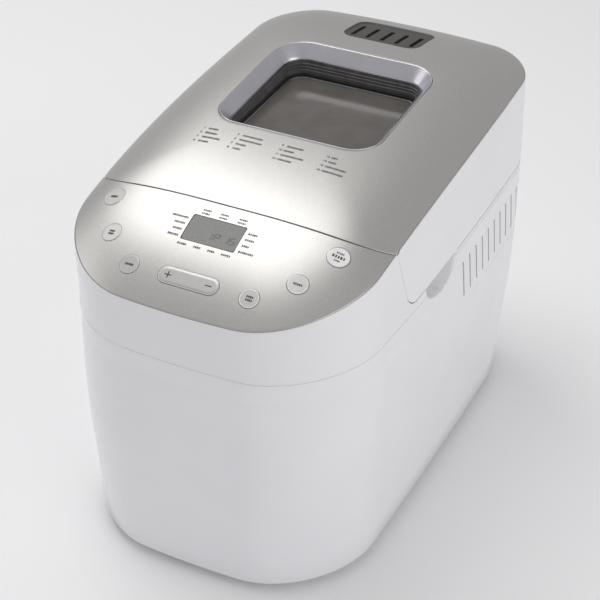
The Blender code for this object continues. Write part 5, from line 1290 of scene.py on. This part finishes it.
# ---- carried-over nodes ----
CARRIED = {
    "base_plate": white_abs,
    "hinge_bracket_left": white_abs,
    "hinge_bracket_right": white_abs,
    "cord_gland": nylon_dark_with_duct_shade,
    "display_module": nylon_dark_with_duct_shade,
    "control_board": circuit_board,
    "power_board": circuit_board,
    "element_terminal_block": steatite,
    "thermal_fuse": steatite,
    "temperature_probe": drawn_steel,
    "pan_clip": drawn_steel,
    "drive_chassis": zinc_plate,
    "motor": zinc_plate,
    "bearing_front": sintered_bronze,
    "bearing_rear": sintered_bronze,
    "motor_belt": neoprene,
    "cross_belt": neoprene,
    "hinge_pin_left": drawn_steel,
    "hinge_pin_right": drawn_steel,
    "pan_base_ring": brushed_aluminium,
    "bushing_plate": sintered_bronze,
    "pan_shaft_front": drawn_steel,
    "pan_shaft_rear": drawn_steel,
    "drive_shaft_front": drawn_steel,
    "drive_shaft_rear": drawn_steel,
    "drive_pulley_front": pulley_nylon,
    "drive_pulley_rear": pulley_nylon,
    "lower_coupling_front": zinc_plate,
    "lower_coupling_rear": zinc_plate,
    "motor_pulley": zinc_plate,
}
for name, finish in CARRIED.items():
    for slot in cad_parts[name].material_slots:
        slot.material = finish


# ---- floor, light and camera ----
def studio():
    """White sweep, three soft boxes, and the camera above the front right corner."""
    bm = bmesh.new()
    bmesh.ops.create_grid(bm, x_segments=1, y_segments=1, size=6.0, matrix=at(0, 0, -0.0002))
    floor = mesh_object("studio_floor", bm)
    # matt seamless paper, so evenly white that it shows only the shadow
    paper = grained(material("pale_floor", "#FFFFFF", 0.9), ("#FEFEFE", "#FFFFFF"), 0.5)
    floor.data.materials.append(paper)
    world = bpy.data.worlds.new("studio_world")
    world.use_nodes = True
    world.node_tree.nodes["Background"].inputs["Color"].default_value = linear("#E9E9EB")
    world.node_tree.nodes["Background"].inputs["Strength"].default_value = 0.55
    bpy.context.scene.world = world
    aim = Vector((0.0, 0.0, 0.2))
    for name, way, distance, size, power in (
        ("overhead_softbox", (-0.40, 0.20, 0.89), 1.7, (1.0, 1.5), 11.0),
        ("left_softbox", (-0.95, -0.25, 0.45), 1.8, (1.0, 1.0), 3.0),
        ("right_softbox", (1.0, -0.35, 0.42), 2.0, (1.6, 1.2), 9.0),
    ):
        lamp = bpy.data.lights.new(name, "AREA")
        lamp.shape = "RECTANGLE"
        lamp.size, lamp.size_y = size
        lamp.energy = power
        held = bpy.data.objects.new(name, lamp)
        way = Vector(way).normalized()
        held.location = aim + way * distance
        held.rotation_mode = "QUATERNION"
        held.rotation_quaternion = (-way).to_track_quat("-Z", "Y")
        bpy.context.scene.collection.objects.link(held)
    camera = bpy.data.cameras.new("studio_camera")
    camera.lens = 104.9
    camera.sensor_width = 36.0
    held = bpy.data.objects.new("studio_camera", camera)
    right, up = Vector((0.88755, 0.46009, -0.02381)), Vector((-0.25339, 0.53067, 0.80882))
    back = Vector((0.38477, -0.71183, 0.58758))
    turn = Matrix((right, up, back)).transposed().to_4x4()
    held.matrix_world = at(0.5923, -1.1113, 1.0511) @ turn
    bpy.context.scene.collection.objects.link(held)
    bpy.context.scene.camera = held
    bpy.context.scene.view_settings.view_transform = "Standard"


studio()
